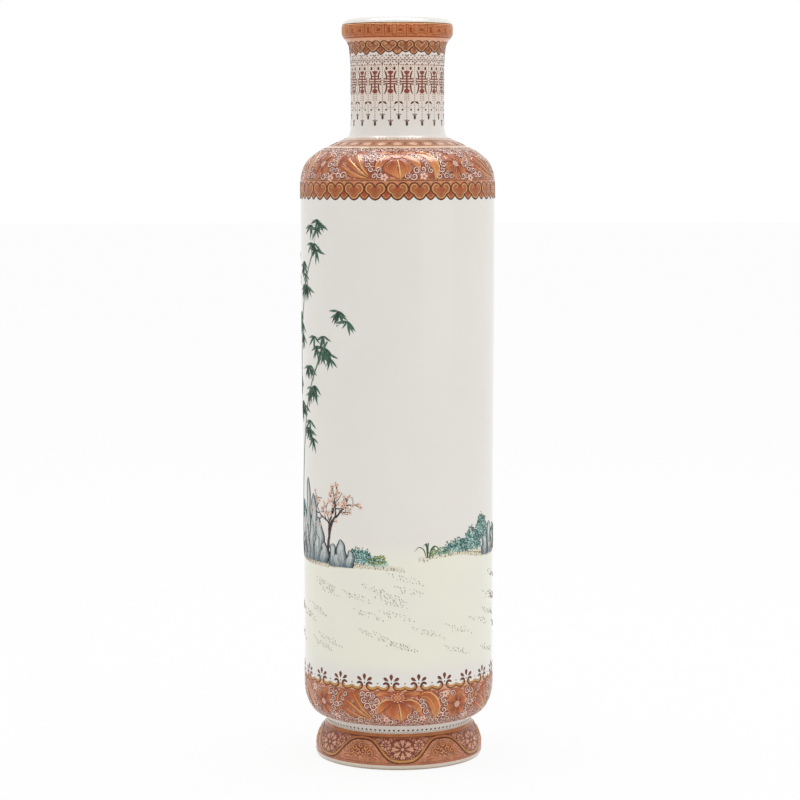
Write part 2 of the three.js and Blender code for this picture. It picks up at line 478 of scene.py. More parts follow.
def fill(outline, centre, lift=0.04, crown=0.04, rings=(1, 0.93, 0.7, 0.4), tone=0.0, centre_tone=0.0):
    """Enamel inside an anticlockwise outline. A ring at share s lies s of the way from the centre to the
    outline, and its lift is lift + crown (1 - s²)."""
    outline, centre = np.asarray(outline, float), np.asarray(centre, float)
    n, share = len(outline), np.array(rings)
    flat = centre + share[:, None, None] * (outline - centre)
    height = lift + crown * (1 - share ** 2)
    height[0] = EDGE
    grid = np.concatenate([flat, np.broadcast_to(height[:, None, None], (len(share), n, 1))], 2)
    points = np.vstack([grid.reshape(-1, 3), [*centre, lift + crown], [*centre, UNDERSIDE]])
    i, after, inner = np.arange(n), (np.arange(n) + 1) % n, (len(share) - 1) * n
    middle, under = np.full(n, len(points) - 2), np.full(n, len(points) - 1)
    tris = np.vstack([np.stack([inner + i, inner + after, middle], 1), np.stack([after, i, under], 1)])
    tones = np.r_[np.repeat(tone + (1 - share) * (centre_tone - tone), n), centre_tone, tone]
    return points, grid_faces(len(share), n), tris, tones


def dots(places, radius, lift=0.02, crown=0.07, sides=8):
    """A small dome of enamel at each place."""
    places = np.asarray(places, float).reshape(-1, 2)
    dome = fill(round_outline(1, 1, sides), (0, 0), lift, crown, (1, 0.6))
    return copies(dome, places[:, 0], places[:, 1], size=radius)


def beads(path, step, size=0.12):
    """Beads along a path, one for each step of its length."""
    path = np.asarray(path, float)
    return dots(even(path, max(int(round(run(path)[-1] / step)) + 1, 2)), size)


# Materials.

def sign(operation, reflected=False):
    """The method of one sign between wires and numbers. A reflected sign has the number on its left."""

    def method(wire, other):
        return wire.maths(operation, other, wire) if reflected else wire.maths(operation, wire, other)

    return method


class Wire:
    """A number coming out of a shader node. Sums and products of wires add their Math nodes."""

    def __init__(self, nodes, socket):
        self.nodes, self.socket = nodes, socket

    def maths(self, operation, first, second):
        return self.nodes.node("ShaderNodeMath", {"operation": operation}, {0: first, 1: second})

    __add__, __radd__ = sign("ADD"), sign("ADD", reflected=True)
    __sub__, __rsub__ = sign("SUBTRACT"), sign("SUBTRACT", reflected=True)
    __mul__, __rmul__ = sign("MULTIPLY"), sign("MULTIPLY", reflected=True)


class Nodes:
    """A node tree under construction."""

    def __init__(self, tree):
        self.tree = tree

    def node(self, kind, settings=None, inputs=None, output=0):
        """One node: its settings, then its sockets' values or wires. Gives one of its outputs."""
        made = self.tree.nodes.new(kind)
        for key, value in (settings or {}).items():
            setattr(made, key, value)
        for key, value in (inputs or {}).items():
            if isinstance(value, Wire):
                self.tree.links.new(value.socket, made.inputs[key])
            elif made.inputs[key].type == "RGBA":
                made.inputs[key].default_value = (*value[:3], 1)
            else:
                made.inputs[key].default_value = value
        return Wire(self, made.outputs[output])

    def place(self):
        return self.node("ShaderNodeTexCoord", output="Object")

    def axes(self):
        """The place's x, y and z."""
        first = self.node("ShaderNodeSeparateXYZ", inputs={0: self.place()})
        return [Wire(self, socket) for socket in first.socket.node.outputs]

    def noise(self, scale, detail=3.0):
        """Noise of about 0 to 1, with so many waves to the metre."""
        return self.node("ShaderNodeTexNoise", inputs={"Vector": self.place(), "Scale": scale,
                                                       "Detail": detail, "Roughness": 0.55})

    def steps(self, value, low, high):
        """0 below low, 1 above high and a smooth rise between."""
        return self.node("ShaderNodeMapRange", {"interpolation_type": "SMOOTHSTEP"},
                         {"Value": value, "From Min": low, "From Max": high})

    def mix(self, factor, first, second, blend="MIX"):
        """A colour between two colours."""
        return self.node("ShaderNodeMix", {"data_type": "RGBA", "blend_type": blend},
                         {0: factor, 6: first, 7: second}, 2)

    def seen(self):
        """1 for rays from the camera, a mirror or a lens, 0 for the light that falls on the vase."""
        camera, mirror, lens = (self.node("ShaderNodeLightPath", output=f"Is {ray} Ray")
                                for ray in ("Camera", "Glossy", "Transmission"))
        rays = camera + mirror + lens
        return rays.maths("MINIMUM", rays, 1.0)


class Finish(Nodes):
    """A new material and its one shader."""

    def __init__(self, name, settings):
        self.material = bpy.data.materials.new(name)
        self.material.use_nodes = True
        super().__init__(self.material.node_tree)
        self.shader = self.tree.nodes["Principled BSDF"]
        for key, value in settings.items():
            self.shader.inputs[key].default_value = value

    def set(self, key, value):
        self.tree.links.new(value.socket, self.shader.inputs[key])

    def wear(self, height, strength, distance):
        """Fine relief from a height."""
        self.set("Normal", self.node("ShaderNodeBump", inputs={"Height": height, "Strength": strength,
                                                               "Distance": distance}))
        return self.material


LUSTRE = 0.22  # how much of its own colour an enamel mirrors, as a metal oxide on the surface does


def enamel(name, base, second=None, rough=0.2, mottle=0.18, grain=900.0, metal=0.0, shine=0.45,
           patches=None):
    """Enamel that melts unevenly: its colour runs from base to second with the drawing's tone, and a
    coarse and a fine noise make it thinner and paler, or thicker and darker. Patches of another colour may
    lie in it."""
    lustre = tuple(1 - LUSTRE + LUSTRE * part / max(base) for part in base)
    finish = Finish(name, {"Roughness": rough, "Metallic": metal, "Specular IOR Level": shine,
                           "Specular Tint": (*lustre, 1)})
    tone = finish.node("ShaderNodeAttribute", {"attribute_name": "tone"}, output="Fac")
    tint = finish.mix(tone, base, second or base)
    if patches:
        tint = finish.mix(finish.steps(finish.noise(grain / 3, 2.0), 0.5, 0.64), tint, patches)
    cloud = finish.noise(grain / 4) * 0.55 + finish.noise(grain) * 0.45
    shade = finish.mix(finish.steps(cloud, 0.35, 0.68), (1 - mottle,) * 3, (1.0,) * 3)
    finish.set("Base Color", finish.mix(1.0, tint, shade, "MULTIPLY"))
    finish.set("Roughness", rough * 0.8 + cloud * (rough * 0.4))
    return finish.wear(cloud, 0.15, 0.00005)


# Where the glaze's wash and stain begin and end: heights in metres, and the square of the distance from
# the axis that tells the neck's outside from its bore.
WASH_FOOT, WASH_TOP = (0.039, 0.045), (0.088, 0.102)
STAIN_FOOT, STAIN_TOP, NECK_OUTSIDE = (0.257, 0.272), (0.284, 0.287), (0.00029, 0.00033)


def glaze(name, base, wash=None, stain=None, rough=0.1):
    """White glaze: nearly even, with a faint warm cloud in it and the slightest waviness. With a wash, the
    lower wall takes the wash's colour below a soft uneven edge. With a stain, the outside of the neck is
    a little warmer where the fringe's iron has bled into it."""
    finish = Finish(name, {"Specular IOR Level": 0.5, "Coat Weight": 0.3, "Coat Roughness": rough * 0.4})
    cloud = finish.noise(30.0, 4.0)
    tint = finish.mix(finish.steps(cloud, 0.3, 0.7), tuple(c * 0.975 for c in base), base)
    if wash:
        up = finish.axes()[2]
        low = 1 - finish.steps(up + finish.noise(22.0, 2.0) * 0.012, *WASH_TOP)
        patch = finish.steps(finish.noise(38.0), 0.25, 0.75) * 0.5 + 0.5
        tint = finish.mix(low * patch * finish.steps(up, *WASH_FOOT), tint, wash)
    if stain:
        x, y, up = finish.axes()
        fringe = finish.steps(up, *STAIN_FOOT) * (1 - finish.steps(up, *STAIN_TOP))
        tint = finish.mix(fringe * finish.steps(x * x + y * y, *NECK_OUTSIDE), tint, stain)
    finish.set("Base Color", tint)
    finish.set("Roughness", rough + cloud * 0.06)
    return finish.wear(finish.noise(60.0, 2.0), 0.06, 0.0002)


def foot_glaze(name, base, bare):
    """The white glaze stops just above the standing face, where the fired body shows unglazed and matte, in
    a darker colour that is also painted shadow where the foot meets the floor.
    """
    finish = Finish(name, {"Specular IOR Level": 0.5})
    up = finish.axes()[2]
    share = 1 - finish.steps(up + finish.noise(180.0) * 0.0003, 0.0004, 0.0014)
    # Below about a millimetre the colour turns to the darker unglazed one, which also paints the shadow at
    # the floor.
    finish.set("Base Color", finish.mix(share, base, bare))
    finish.set("Roughness", share * 0.6 + 0.15)
    finish.set("Coat Weight", (1 - share) * 0.3)
    return finish.wear(finish.noise(2500.0) * share, 0.4, 0.0001)


def paint(base, second=None, mix=enamel, **settings):
    """A paint: its colours, each a screen colour or a setting's name, and how it is mixed."""
    return {"base": base, "mix": mix, **({"second": second} if second else {}), **settings}


NECK_STAIN = (225, 208, 194)

# The paints, by their slot in the record.
PAINTS = {
    "white_glaze": {
        "plain_glaze": paint("glaze", mix=glaze),
        "neck_glaze": paint("glaze", mix=glaze, stain=NECK_STAIN, rough=0.24),
        "mouth_glaze": paint("glaze", mix=glaze, stain=NECK_STAIN),
        "washed_glaze": paint("glaze", mix=glaze, wash="wash"),
    },
    # The unglazed colour at the standing edge is darker than fired porcelain alone: it is also painted
    # shadow where the foot meets the floor.
    "bare_porcelain": {"foot_glaze": paint((218, 206, 190), mix=foot_glaze, bare=(178, 162, 142))},
    "rim_enamel": {"rim_ground": paint("iron", mottle=0.25, shine=0.25)},
    "iron_red_enamel": {
        "line_ground": paint((214, 136, 90), (214, 146, 108), mottle=0.3),
        "lotus_ground": paint((178, 88, 54), mottle=0.4, grain=1500.0, patches=(228, 164, 134)),
        "oval_ground": paint((198, 136, 98), (208, 150, 112), mottle=0.3),
        "bowl_ground": paint((204, 118, 82), mottle=0.4, grain=1500.0, patches=(240, 188, 162)),
        "iron_line": paint("iron", "iron_light"),
        "dark_red_line": paint((104, 38, 22), mottle=0.3),
        "petal": paint((154, 58, 24), (228, 148, 88), mottle=0.25, grain=700.0),
        "medallion_red": paint((142, 62, 40), "brown", mottle=0.3),
    },
    "pale_enamel": {
        "peach_ground": paint("peach", mottle=0.12),
        "oval_pink": paint((242, 202, 174), (214, 156, 122), mottle=0.15),
        "floret_pink": paint((228, 174, 142), (208, 140, 108), mottle=0.2),
        "scroll_pink": paint((248, 218, 202), (228, 180, 156), mottle=0.1),
        "blush": paint((232, 208, 190), mottle=0.08),
        "rock_pale": paint((236, 238, 234), mottle=0.08),
        "pale": paint("pale", "peach", mottle=0.1),
    },
    "foot_enamel": {
        "foot_ground": paint((204, 132, 94), mottle=0.4, grain=1800.0),
        "lappet_red": paint((134, 64, 42), mottle=0.3),
        "crest_shade": paint((190, 116, 78), (134, 64, 32), mottle=0.35, grain=1800.0),
        "foot_tan": paint((190, 120, 76), (170, 96, 56), mottle=0.25),
    },
    "brown_enamel": {
        "bead_dark": paint((64, 38, 30)),
        "brown_line": paint("brown", "iron"),
        "bracket_brown": paint((104, 52, 30), (136, 76, 46)),
        "thread": paint((104, 56, 38)),
        "rock_line": paint((48, 54, 58)),
        "bark": paint((62, 44, 38), (112, 84, 70), mottle=0.35),
        "grass": paint((128, 120, 98)),
    },
    "ochre_enamel": {
        "head_tan": paint((176, 108, 64), (144, 78, 44), mottle=0.25, grain=2400.0, patches=(206, 146, 110)),
        "cord_gold": paint((208, 148, 84), (182, 104, 56), mottle=0.25),
        "crest_gold": paint((236, 158, 98), mottle=0.25),
        "leaf": paint((172, 80, 34), (224, 152, 86), mottle=0.25, grain=700.0),
        "ochre": paint("ochre", "iron"),
        "earth": paint((230, 220, 194), mottle=0.1),
    },
    "gilding": {
        "gilt": paint("gold", rough=0.35, mottle=0.12, metal=0.35, shine=0.3),
        # Gilding painted near white: the gold's own colour with a painted highlight over it.
        "bright_gilt": paint((255, 238, 208), rough=0.3, mottle=0.06, metal=0.1),
    },
    "turquoise_enamel": {
        "turquoise": paint((132, 186, 180), (60, 110, 104)),
        "bush_wash": paint((186, 214, 204), mottle=0.2, grain=400.0),
        "rock_blue": paint((214, 220, 214), (92, 112, 124), mottle=0.2, grain=500.0),
    },
    "green_enamel": {
        "leaf_green": paint((38, 66, 48), (88, 134, 112), mottle=0.25),
        "cane_green": paint((74, 108, 84), (128, 164, 128), mottle=0.25),
        "leaf_dark": paint((26, 42, 34)),
        "spring_green": paint((176, 192, 120), (120, 140, 80)),
    },
}


def mixed(name):
    """The slot and the material of a paint, which is mixed once."""
    slot = next(slot for slot, group in PAINTS.items() if name in group)
    if name in bpy.data.materials:
        return slot, bpy.data.materials[name]
    settings = dict(PAINTS[slot][name])
    mix = settings.pop("mix")
    for key, value in settings.items():
        if isinstance(value, str):
            settings[key] = getattr(bpy.context.scene.vase_colours, value)
        elif isinstance(value, tuple):
            settings[key] = srgb(*value)
    return slot, mix(name, **settings)


# Meshes.

def new_piece(name, points, quads, tris, paint, tones=None):
    """A mesh object in metres from points in millimetres, in a paint, riding on the vase's one body."""
    mesh = bpy.data.meshes.new(name)
    sizes = np.r_[np.full(len(quads), 4), np.full(len(tris), 3)].astype(np.int32)
    corners = np.concatenate([quads.ravel(), tris.ravel()]).astype(np.int32)
    mesh.vertices.add(len(points))
    mesh.vertices.foreach_set("co", (points * MM).astype(np.float32).ravel())
    mesh.loops.add(len(corners))
    mesh.loops.foreach_set("vertex_index", corners)
    mesh.polygons.add(len(sizes))
    mesh.polygons.foreach_set("loop_start", np.r_[0, np.cumsum(sizes)[:-1]].astype(np.int32))
    mesh.polygons.foreach_set("use_smooth", np.full(len(sizes), True))
    if tones is not None:
        mesh.attributes.new("tone", "FLOAT", "POINT").data.foreach_set("value", tones.astype(np.float32))
    mesh.update(calc_edges=True)
    mesh.validate()
    piece = bpy.data.objects.new(name, mesh)
    bpy.context.scene.collection.objects.link(piece)
    slot, material = mixed(paint)
    mesh.materials.append(material)
    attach(piece, "root")
    return piece


def turned(name, outline, paint, closed=True):
    """A profile turned about the axis: radius r and height z go to (r cos a, r sin a, z) at each angle a.
    A closed profile joins its end to its start; an open one starts and ends in a point on the axis."""
    n = bpy.context.scene.vase_form.segments
    angle = angles(n)
    rings = outline if closed else outline[1:-1]
    rows = len(rings)
    points = np.stack([rings[:, None, 0] * np.cos(angle), rings[:, None, 0] * np.sin(angle),
                       np.repeat(rings[:, 1:], n, 1)], 2).reshape(-1, 3)
    tris = np.zeros((0, 3), int)
    if not closed:
        first, last, last_row = len(points), len(points) + 1, (rows - 1) * n
        points = np.vstack([points, [0, 0, outline[0, 1]], [0, 0, outline[-1, 1]]])
        j, after = np.arange(n), (np.arange(n) + 1) % n
        tris = np.vstack([np.stack([np.full(n, first), after, j], 1),
                          np.stack([last_row + j, last_row + after, np.full(n, last)], 1)])
    return new_piece(name, points, grid_faces(rows, n, closed), tris, paint)


def ring(name, low, high, paint, lift=0.04, step=0.6):
    """A band of enamel round the whole vase between two heights: the outline raised by the lift."""
    form = Outline()
    first, last = form.level(low), form.level(high)
    s = np.linspace(first, last, int((last - first) / step) + 3)
    s = np.sort(np.r_[s, first + 0.1, last - 0.1])
    lifts = np.where((s == first) | (s == last), EDGE, lift)
    s, lifts = np.r_[s, s[::-1]], np.r_[lifts, np.full(len(s), RING_UNDERSIDE)]
    return turned(name, np.stack(form.raised(s, lifts), 1), paint)


def line(name, low, high, paint, lift=0.07):
    """A narrow ring."""
    return ring(name, low, high, paint, lift, 0.1)


class Work:
    """Enamel work in flat drawings, gathered by paint and laid from one height. Angles are measured on the
    radius, which is the vase's own at that height where none is given."""

    def __init__(self, name, z, radius=None):
        self.name, self.z, self.paints = name, z, {}
        self.radius = radius or Outline().radius(z)

    def around(self, count=1, first=0.0):
        """A brush that paints drawings evenly so many times round the vase, the first so many units on."""
        places = (np.arange(count) + first) * (TURN * self.radius / count)

        def brush(paint, *drawings):
            self.paints.setdefault(paint, []).append(copies(joined(drawings), places))

        return brush

    def lay(self):
        form = Outline()
        for paint, drawings in self.paints.items():
            points, quads, tris, tones = joined(drawings)
            points = form.place(points, self.z, self.radius)
            new_piece(f"{self.name}_{paint}", points, quads, tris, paint, tones)
        return {"FINISHED"}


# The pieces.

SECTION_PAINTS = {"foot_ring": "foot_glaze", "lower_cylinder": "washed_glaze", "shoulder": "neck_glaze",
                  "neck": "neck_glaze", "mouth_rim": "mouth_glaze"}
CREASE = math.radians(40)  # edges sharper than this stay sharp


class VASE_OT_sections(bpy.types.Operator):
    """Throw and glaze the seven luted sections"""

    bl_idname = "vase.sections"
    bl_label = "Glazed sections"

    def execute(self, context):
        form = Outline()
        for node in form.sections:
            piece = turned(f"glazed_{node}", form.section(node), SECTION_PAINTS.get(node, "plain_glaze"),
                           closed=node != "base_bowl")
            context.view_layer.objects.active = piece
            piece.select_set(True)
            bpy.ops.object.shade_smooth_by_angle(angle=CREASE)
            piece.select_set(False)
            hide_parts(node)
        return {"FINISHED"}


# The rim: a gilt fret on iron red.

FRET = {"lift": 0.07, "crown": 0.03}


def fret(across, up, pitch, size):
    """A rectangular spiral that winds in from its lower left corner by one pitch a turn."""
    path, left, right, low, high = [(0, 0)], 0.0, across, 0.0, up
    while right - left > pitch and high - low > pitch:
        path += [(right, low), (right, high), (left, high), (left, low + pitch)]
        left, right, low, high = left + pitch, right - pitch, low + pitch, high - pitch
        path.append((left, low))
    return straight(path[:-1], size, 0.5, **FRET)


class VASE_OT_rim(bpy.types.Operator):
    """Paint the rim's red band and its gilt fret"""

    bl_idname = "vase.rim"
    bl_label = "Rim fret"

    def execute(self, context):
        ring("rim_red", 291.8, 297.75, "rim_ground", step=0.3)
        line("rim_lower_edge", 291.85, 292.15, "iron_line", 0.06)
        line("rim_upper_edge", 297.45, 297.8, "brown_line", 0.06)
        line("rim_upper_line", 297.05, 297.4, "gilt")
        work = Work("rim_fret", 292.9, RIM_R)
        wide = moved(fret(4.1, 3.8, 0.56, 0.27), x=0.65)
        narrow = moved(fret(2.6, 3.8, 0.56, 0.27), x=8.1, across=-1)
        bars = [straight([(x, -0.1), (x, 3.9)], 0.27, **FRET) for x in (-0.2, 0.24)]
        rail = straight([(0, -0.4), (8.84, -0.4)], 0.24, **FRET)
        work.around(RIM_UNITS, -0.15)("gilt", wide, narrow, *bars, rail)
        return work.lay()


# The cloud-head border, on the shoulder and again smaller under the rim: half a head, the light line in
# it, the dark notch between its curls and its seeds, then the drop between two heads and its two lines.

HEAD = [(0, -3.4), (1.05, -3.05), (1.95, -2.3), (2.55, -1.35), (3.5, -0.85), (4.2, 0.1), (4.3, 1.4),
        (3.55, 2.75), (2.3, 3.3), (1.1, 2.95), (0.35, 2.1), (0, 1.5)]
HEAD_LINE = [(0, -2.75), (0.9, -2.45), (1.6, -1.75), (2.15, -0.9), (3.1, -0.35), (3.6, 0.5), (3.6, 1.4),
             (2.95, 2.35), (2.1, 2.6), (1.3, 2.2), (1.2, 1.5), (1.75, 1.15), (2.2, 1.5)]
NOTCH = [(0, 0.9), (0.5, 1.3), (0.75, 1.9), (0.3, 2.4), (0, 2.7)]
SEEDS = [(0, -0.9), (-0.6, -0.4), (0.6, -0.4), (-1.15, 0.15), (1.15, 0.15), (0, 0.1), (-0.4, -1.5),
         (0.4, -1.5), (-1.5, 0.9), (1.5, 0.9)]
DROP = [(0, -3.45), (0.7, -3.0), (1.6, -2.1), (2.3, -1.2), (2.2, 0.2), (0, 0.5)]
DROP_LINE = [(-1.35, -1.1), (-1.0, -1.75), (-0.5, -2.3), (0, -2.65)]
DROP_EDGE = [(-2.3, -1.2), (-1.6, -2.15), (-0.75, -3.0), (0, -3.4)]


def cloud_heads(work, size, count, first=0.0, body="ochre", tall=1.0, hang=0.0):
    """Cloud-shaped heads side by side, with a pointed drop between each two. Drops that hang are wider."""
    heads, drops = work.around(count, first), work.around(count, first + 0.5)
    half, inner = (smooth(path, 26) * [size, size * tall] for path in (HEAD, HEAD_LINE))
    head = mirrored_outline(half)
    wide = np.array([1 + hang * 0.2, 1.0]) * size
    drop, drop_line, drop_edge = (arch(path) * wide - [0, hang] for path in (DROP, DROP_LINE, DROP_EDGE))
    thin = 0.44 * size ** 0.5
    heads(body, fill(head, (0, 0.9 * size), 0.04, 0.05, centre_tone=0.9))
    drops(body, fill(drop[:-1], (0, -0.9 * size - hang), 0.03, 0.03, tone=0.5, centre_tone=1.0))
    heads("medallion_red", fill(mirrored_outline(NOTCH) * size, (0, 1.7 * size), 0.06, 0.04))
    drops("medallion_red", dots([(0, -1.5 * size - hang)], 0.24 * size, 0.09))
    heads("gilt", both_sides(stroke(inner, thin, 0.08)))
    heads("brown_line", both_sides(stroke(inner[:-6] * 0.84, thin * 0.5, 0.09, 0.03)))
    drops("gilt", stroke(smooth(drop_line, 14), thin * 0.55, 0.07, 0.04))
    heads("brown_line", closed_stroke(head, thin * 1.6, lift=0.09, crown=0.06),
          dots(np.array(SEEDS) * size, 0.22 * size, 0.1))
    drops("brown_line", stroke(smooth(drop_edge, 14), thin * 1.3, 0.08))


class VASE_OT_cloud_border(bpy.types.Operator):
    """Paint the cloud-head border below the shoulder"""

    bl_idname = "vase.cloud_border"
    bl_label = "Cloud-head border"

    def execute(self, context):
        ring("cloud_border_ground", 231.4, 236.0, "line_ground", 0.03)
        line("cloud_border_line", 235.75, 236.2, "ochre")
        line("cloud_border_lower_line", 235.45, 235.75, "brown_line", 0.06)
        work = Work("cloud_heads", 231.5, BODY_R)
        cloud_heads(work, 1.0, CLOUD_UNITS)
        between = work.around(CLOUD_UNITS, 0.5)
        between("pale", dots([(0.0, 3.75), (-0.35, 3.45), (0.35, 3.45)], 0.16))
        between("iron_line", dots([(-0.9, 3.7), (0.9, 3.7), (0, 2.9), (-4.4, 3.75)], 0.12))
        return work.lay()


class VASE_OT_neck(bpy.types.Operator):
    """Paint the neck's cloud heads and its fringe of beads and medallions"""

    bl_idname = "vase.neck"
    bl_label = "Neck fringe"

    def execute(self, context):
        ring("neck_peach", 288.0, 291.95, "peach_ground", 0.03, 0.3)
        heads = Work("neck_heads", 288.5, NECK_R + 0.3)
        cloud_heads(heads, 0.76, NECK_UNITS, 0.5, "head_tan", 0.9, 0.75)
        heads.lay()
        work = Work("neck_fringe", 270.0, NECK_R)
        add = work.around(NECK_UNITS, -0.42)
        half = TURN * NECK_R / NECK_UNITS / 2
        # Crossing rows of beads hang below the heads, with a rosette where they cross.
        net = [[(-half, 11.6), (0, 14.6), (half, 11.6)], [(-half, 14.6), (0, 11.6), (half, 14.6)],
               [(-half / 2, 14.9), (half / 2, 14.9)]]
        add("bead_dark", *[beads(row, 1.08, 0.3) for row in net],
            beads([(-half, 13.1), (half, 13.1)], 1.1, 0.26))
        rosette = dots(round_outline(0.66, 0.62, 6), 0.19)
        add("bead_dark", moved(rosette, y=13.6), moved(rosette, x=half, y=12.4))
        add("medallion_red", beads([(-half, 11.1), (half, 11.1)], 0.95, 0.29),
            beads([(-half, 12.2), (0, 12.6), (half, 12.2)], 1.1, 0.24),
            both_sides(beads([(0.5, 10.9), (0.9, 9.4)], 0.7, 0.18)))
        # One medallion to a unit: a knob, a barred stem, a ball and two curved sides.
        knob = fill(smooth([(-1.2, 8.65), (-1.05, 7.9), (-0.4, 7.25), (0.4, 7.25), (1.05, 7.9), (1.2, 8.65),
                            (0, 8.7), (-1.2, 8.65)], 20)[:-1], (0, 8.0), 0.05, 0.08)
        ball = moved(fill(round_outline(1.22, 0.94), (0, 0), 0.05, 0.08), y=0.75)
        stem = stroke([(0, 7.6), (0, 4.4), (0, 1.2)], 0.82)
        bars = [straight([(-w, y), (w, y)], 0.6, 0.8, lift=0.06)
                for w, y in ((1.15, 6.6), (2.25, 5.5), (2.25, 4.5), (2.25, 3.65), (1.15, 2.4))]
        upper = drawn([(2.45, 8.9), (1.95, 8.0), (1.6, 6.7), (1.6, 5.5)], (0.3, 0.78, 0.78, 0.66))
        lower = drawn([(1.6, 3.65), (1.6, 2.4), (1.8, 1.0), (2.5, -0.4)], (0.66, 0.78, 0.78, 0.3))
        add("medallion_red", knob, ball, stem, *bars)
        add("bracket_brown", both_sides(upper), both_sides(lower))
        add("ochre", *[straight([(side * 2.3, y), (side * half, y)], 0.28, 0.5)
                       for side in (-1, 1) for y in (5.05, 4.05)])
        studs = [(side * (half - 0.72), y) for side in (-1, 1) for y in (5.65, 4.55, 3.4)]
        add("bead_dark", dots(studs, 0.36))
        # Strings of small beads, each as x, its top and its foot, then swags, caps and drops.
        strings = [(0, 11.2, 8.9), (half, 11.0, 6.2), (-0.78, -0.5, -2.8), (0.78, -0.5, -2.8),
                   (0, -0.5, -10.4), (half, 2.9, -3.2), (half, -4.3, -8.0), (-1.6, 11.2, 10.2),
                   (1.6, 11.2, 10.2)]
        swag = smooth([(half - 1.5, -4.3), (half - 1.7, -5.3), (0.7, -5.9), (0, -5.6)], 12)
        add("thread", *[beads([(x, high), (x, low)], 0.74, 0.23) for x, high, low in strings],
            both_sides(beads(swag, 0.74, 0.19)))
        cap = drawn([(half - 1.65, -4.3), (half - 1.0, -3.7), (half - 0.2, -3.5)], (0.4, 1.1, 0.4))
        drop = fill(round_outline(0.48, 0.72, 12), (0, 0), 0.04, 0.08)
        add("brown_line", both_sides(cap), both_sides(moved(drop, 1.6, 9.7)))
        add("bead_dark", both_sides(dots([(1.75, -6.6)], 0.46)), moved(drop, 0, -12.1, 1.1, 1.35),
            moved(drop, half, -9.6, 1.05, 1.25))
        sprig = [both_sides(drawn([(0.15, -0.45), (0.6, -0.1), (1.05, 0.3)], (0.3, 0.5, 0.2))),
                 dots([(0, 0.1)], 0.34)]
        add("bracket_brown", *[moved(part, *spot) for spot in ((0, -10.9), (half, -8.5)) for part in sprig])
        return work.lay()


# The lotus bands on the shoulder and on the round underside. Petals and leaves are two edges each, from
# the base to the tip, in millimetres from the flower's middle; the first edge lies to the right of the way
# to the tip. Veins are a path and its widths.

LOTUS_PETALS = [
    ([(-3.2, 3.6), (-5.6, 3.0), (-8.0, 1.6), (-9.2, -0.4), (-8.8, -2.2)],
     [(-2.2, 2.4), (-3.6, 1.0), (-5.4, -0.6), (-7.2, -1.8), (-8.4, -2.6)]),
    ([(-2.0, 2.2), (-4.4, 0.6), (-6.0, -1.2), (-5.4, -3.0), (-2.6, -4.1), (0.7, -5.5)],
     [(-0.4, 2.0), (-0.1, 0.5), (0.3, -1.2), (0.6, -2.8), (0.8, -4.2), (0.9, -5.7)]),
    ([(-0.1, 2.0), (0.3, 0.5), (0.6, -1.2), (0.9, -2.8), (1.1, -4.2), (1.2, -5.7)],
     [(1.2, 2.2), (3.8, 0.8), (5.7, -1.0), (5.5, -2.9), (3.6, -4.0), (1.5, -5.5)]),
    ([(1.8, 2.4), (3.8, 1.4), (5.8, -0.2), (7.6, -1.6), (8.8, -2.2)],
     [(2.6, 3.4), (5.6, 3.4), (8.2, 2.2), (9.8, 0.2), (9.6, -1.8)]),
    ([(-2.6, 5.2), (-4.6, 6.4), (-6.8, 6.4), (-8.8, 5.2)],
     [(-3.4, 4.2), (-5.2, 4.2), (-7.2, 4.2), (-8.6, 4.7)]),
    ([(2.4, 4.2), (4.4, 4.2), (6.6, 4.4), (8.4, 4.9)], [(1.8, 5.2), (4.0, 6.5), (6.6, 6.6), (8.6, 5.5)]),
    ([(-0.4, 5.6), (-0.2, 5.9), (0.2, 6.2), (0.8, 6.3)],
     [(-2.0, 5.4), (-2.4, 6.0), (-1.2, 6.5), (0.2, 6.6)]),
]
LOTUS_LEAVES = [
    ([(7.6, 3.6), (9.8, 3.2), (11.6, 1.8), (13.0, -0.4), (14.0, -2.4), (14.6, -4.2), (14.8, -5.5)],
     [(8.0, 5.1), (10.6, 6.4), (13.8, 6.0), (16.6, 3.5), (18.0, -0.2), (17.4, -3.6), (15.5, -5.9)]),
    ([(-25.2, -2.0), (-22.6, -3.6), (-19.4, -4.6), (-15.6, -5.2), (-11.8, -5.4)],
     [(-24.4, 0.6), (-21.8, -0.9), (-18.8, -2.5), (-15.2, -4.0), (-11.7, -5.1)]),
    ([(-24.2, 1.2), (-21.6, -0.5), (-18.6, -2.1), (-15.0, -3.8), (-11.6, -5.0)],
     [(-22.2, 4.0), (-19.8, 1.4), (-17.2, -0.6), (-14.4, -2.9), (-11.5, -4.7)]),
    ([(-21.6, 4.4), (-19.4, 1.9), (-16.9, -0.2), (-14.2, -2.5), (-11.4, -4.6)],
     [(-16.6, 6.2), (-15.7, 3.6), (-14.9, 1.2), (-13.4, -1.6), (-11.2, -4.3)]),
    ([(-23.2, 5.8), (-25.4, 5.2), (-27.2, 3.2), (-27.4, 0.6), (-26.4, -2.0)],
     [(-23.6, 4.6), (-25.0, 3.8), (-25.9, 2.4), (-26.2, 0.6), (-25.9, -1.6)]),
]
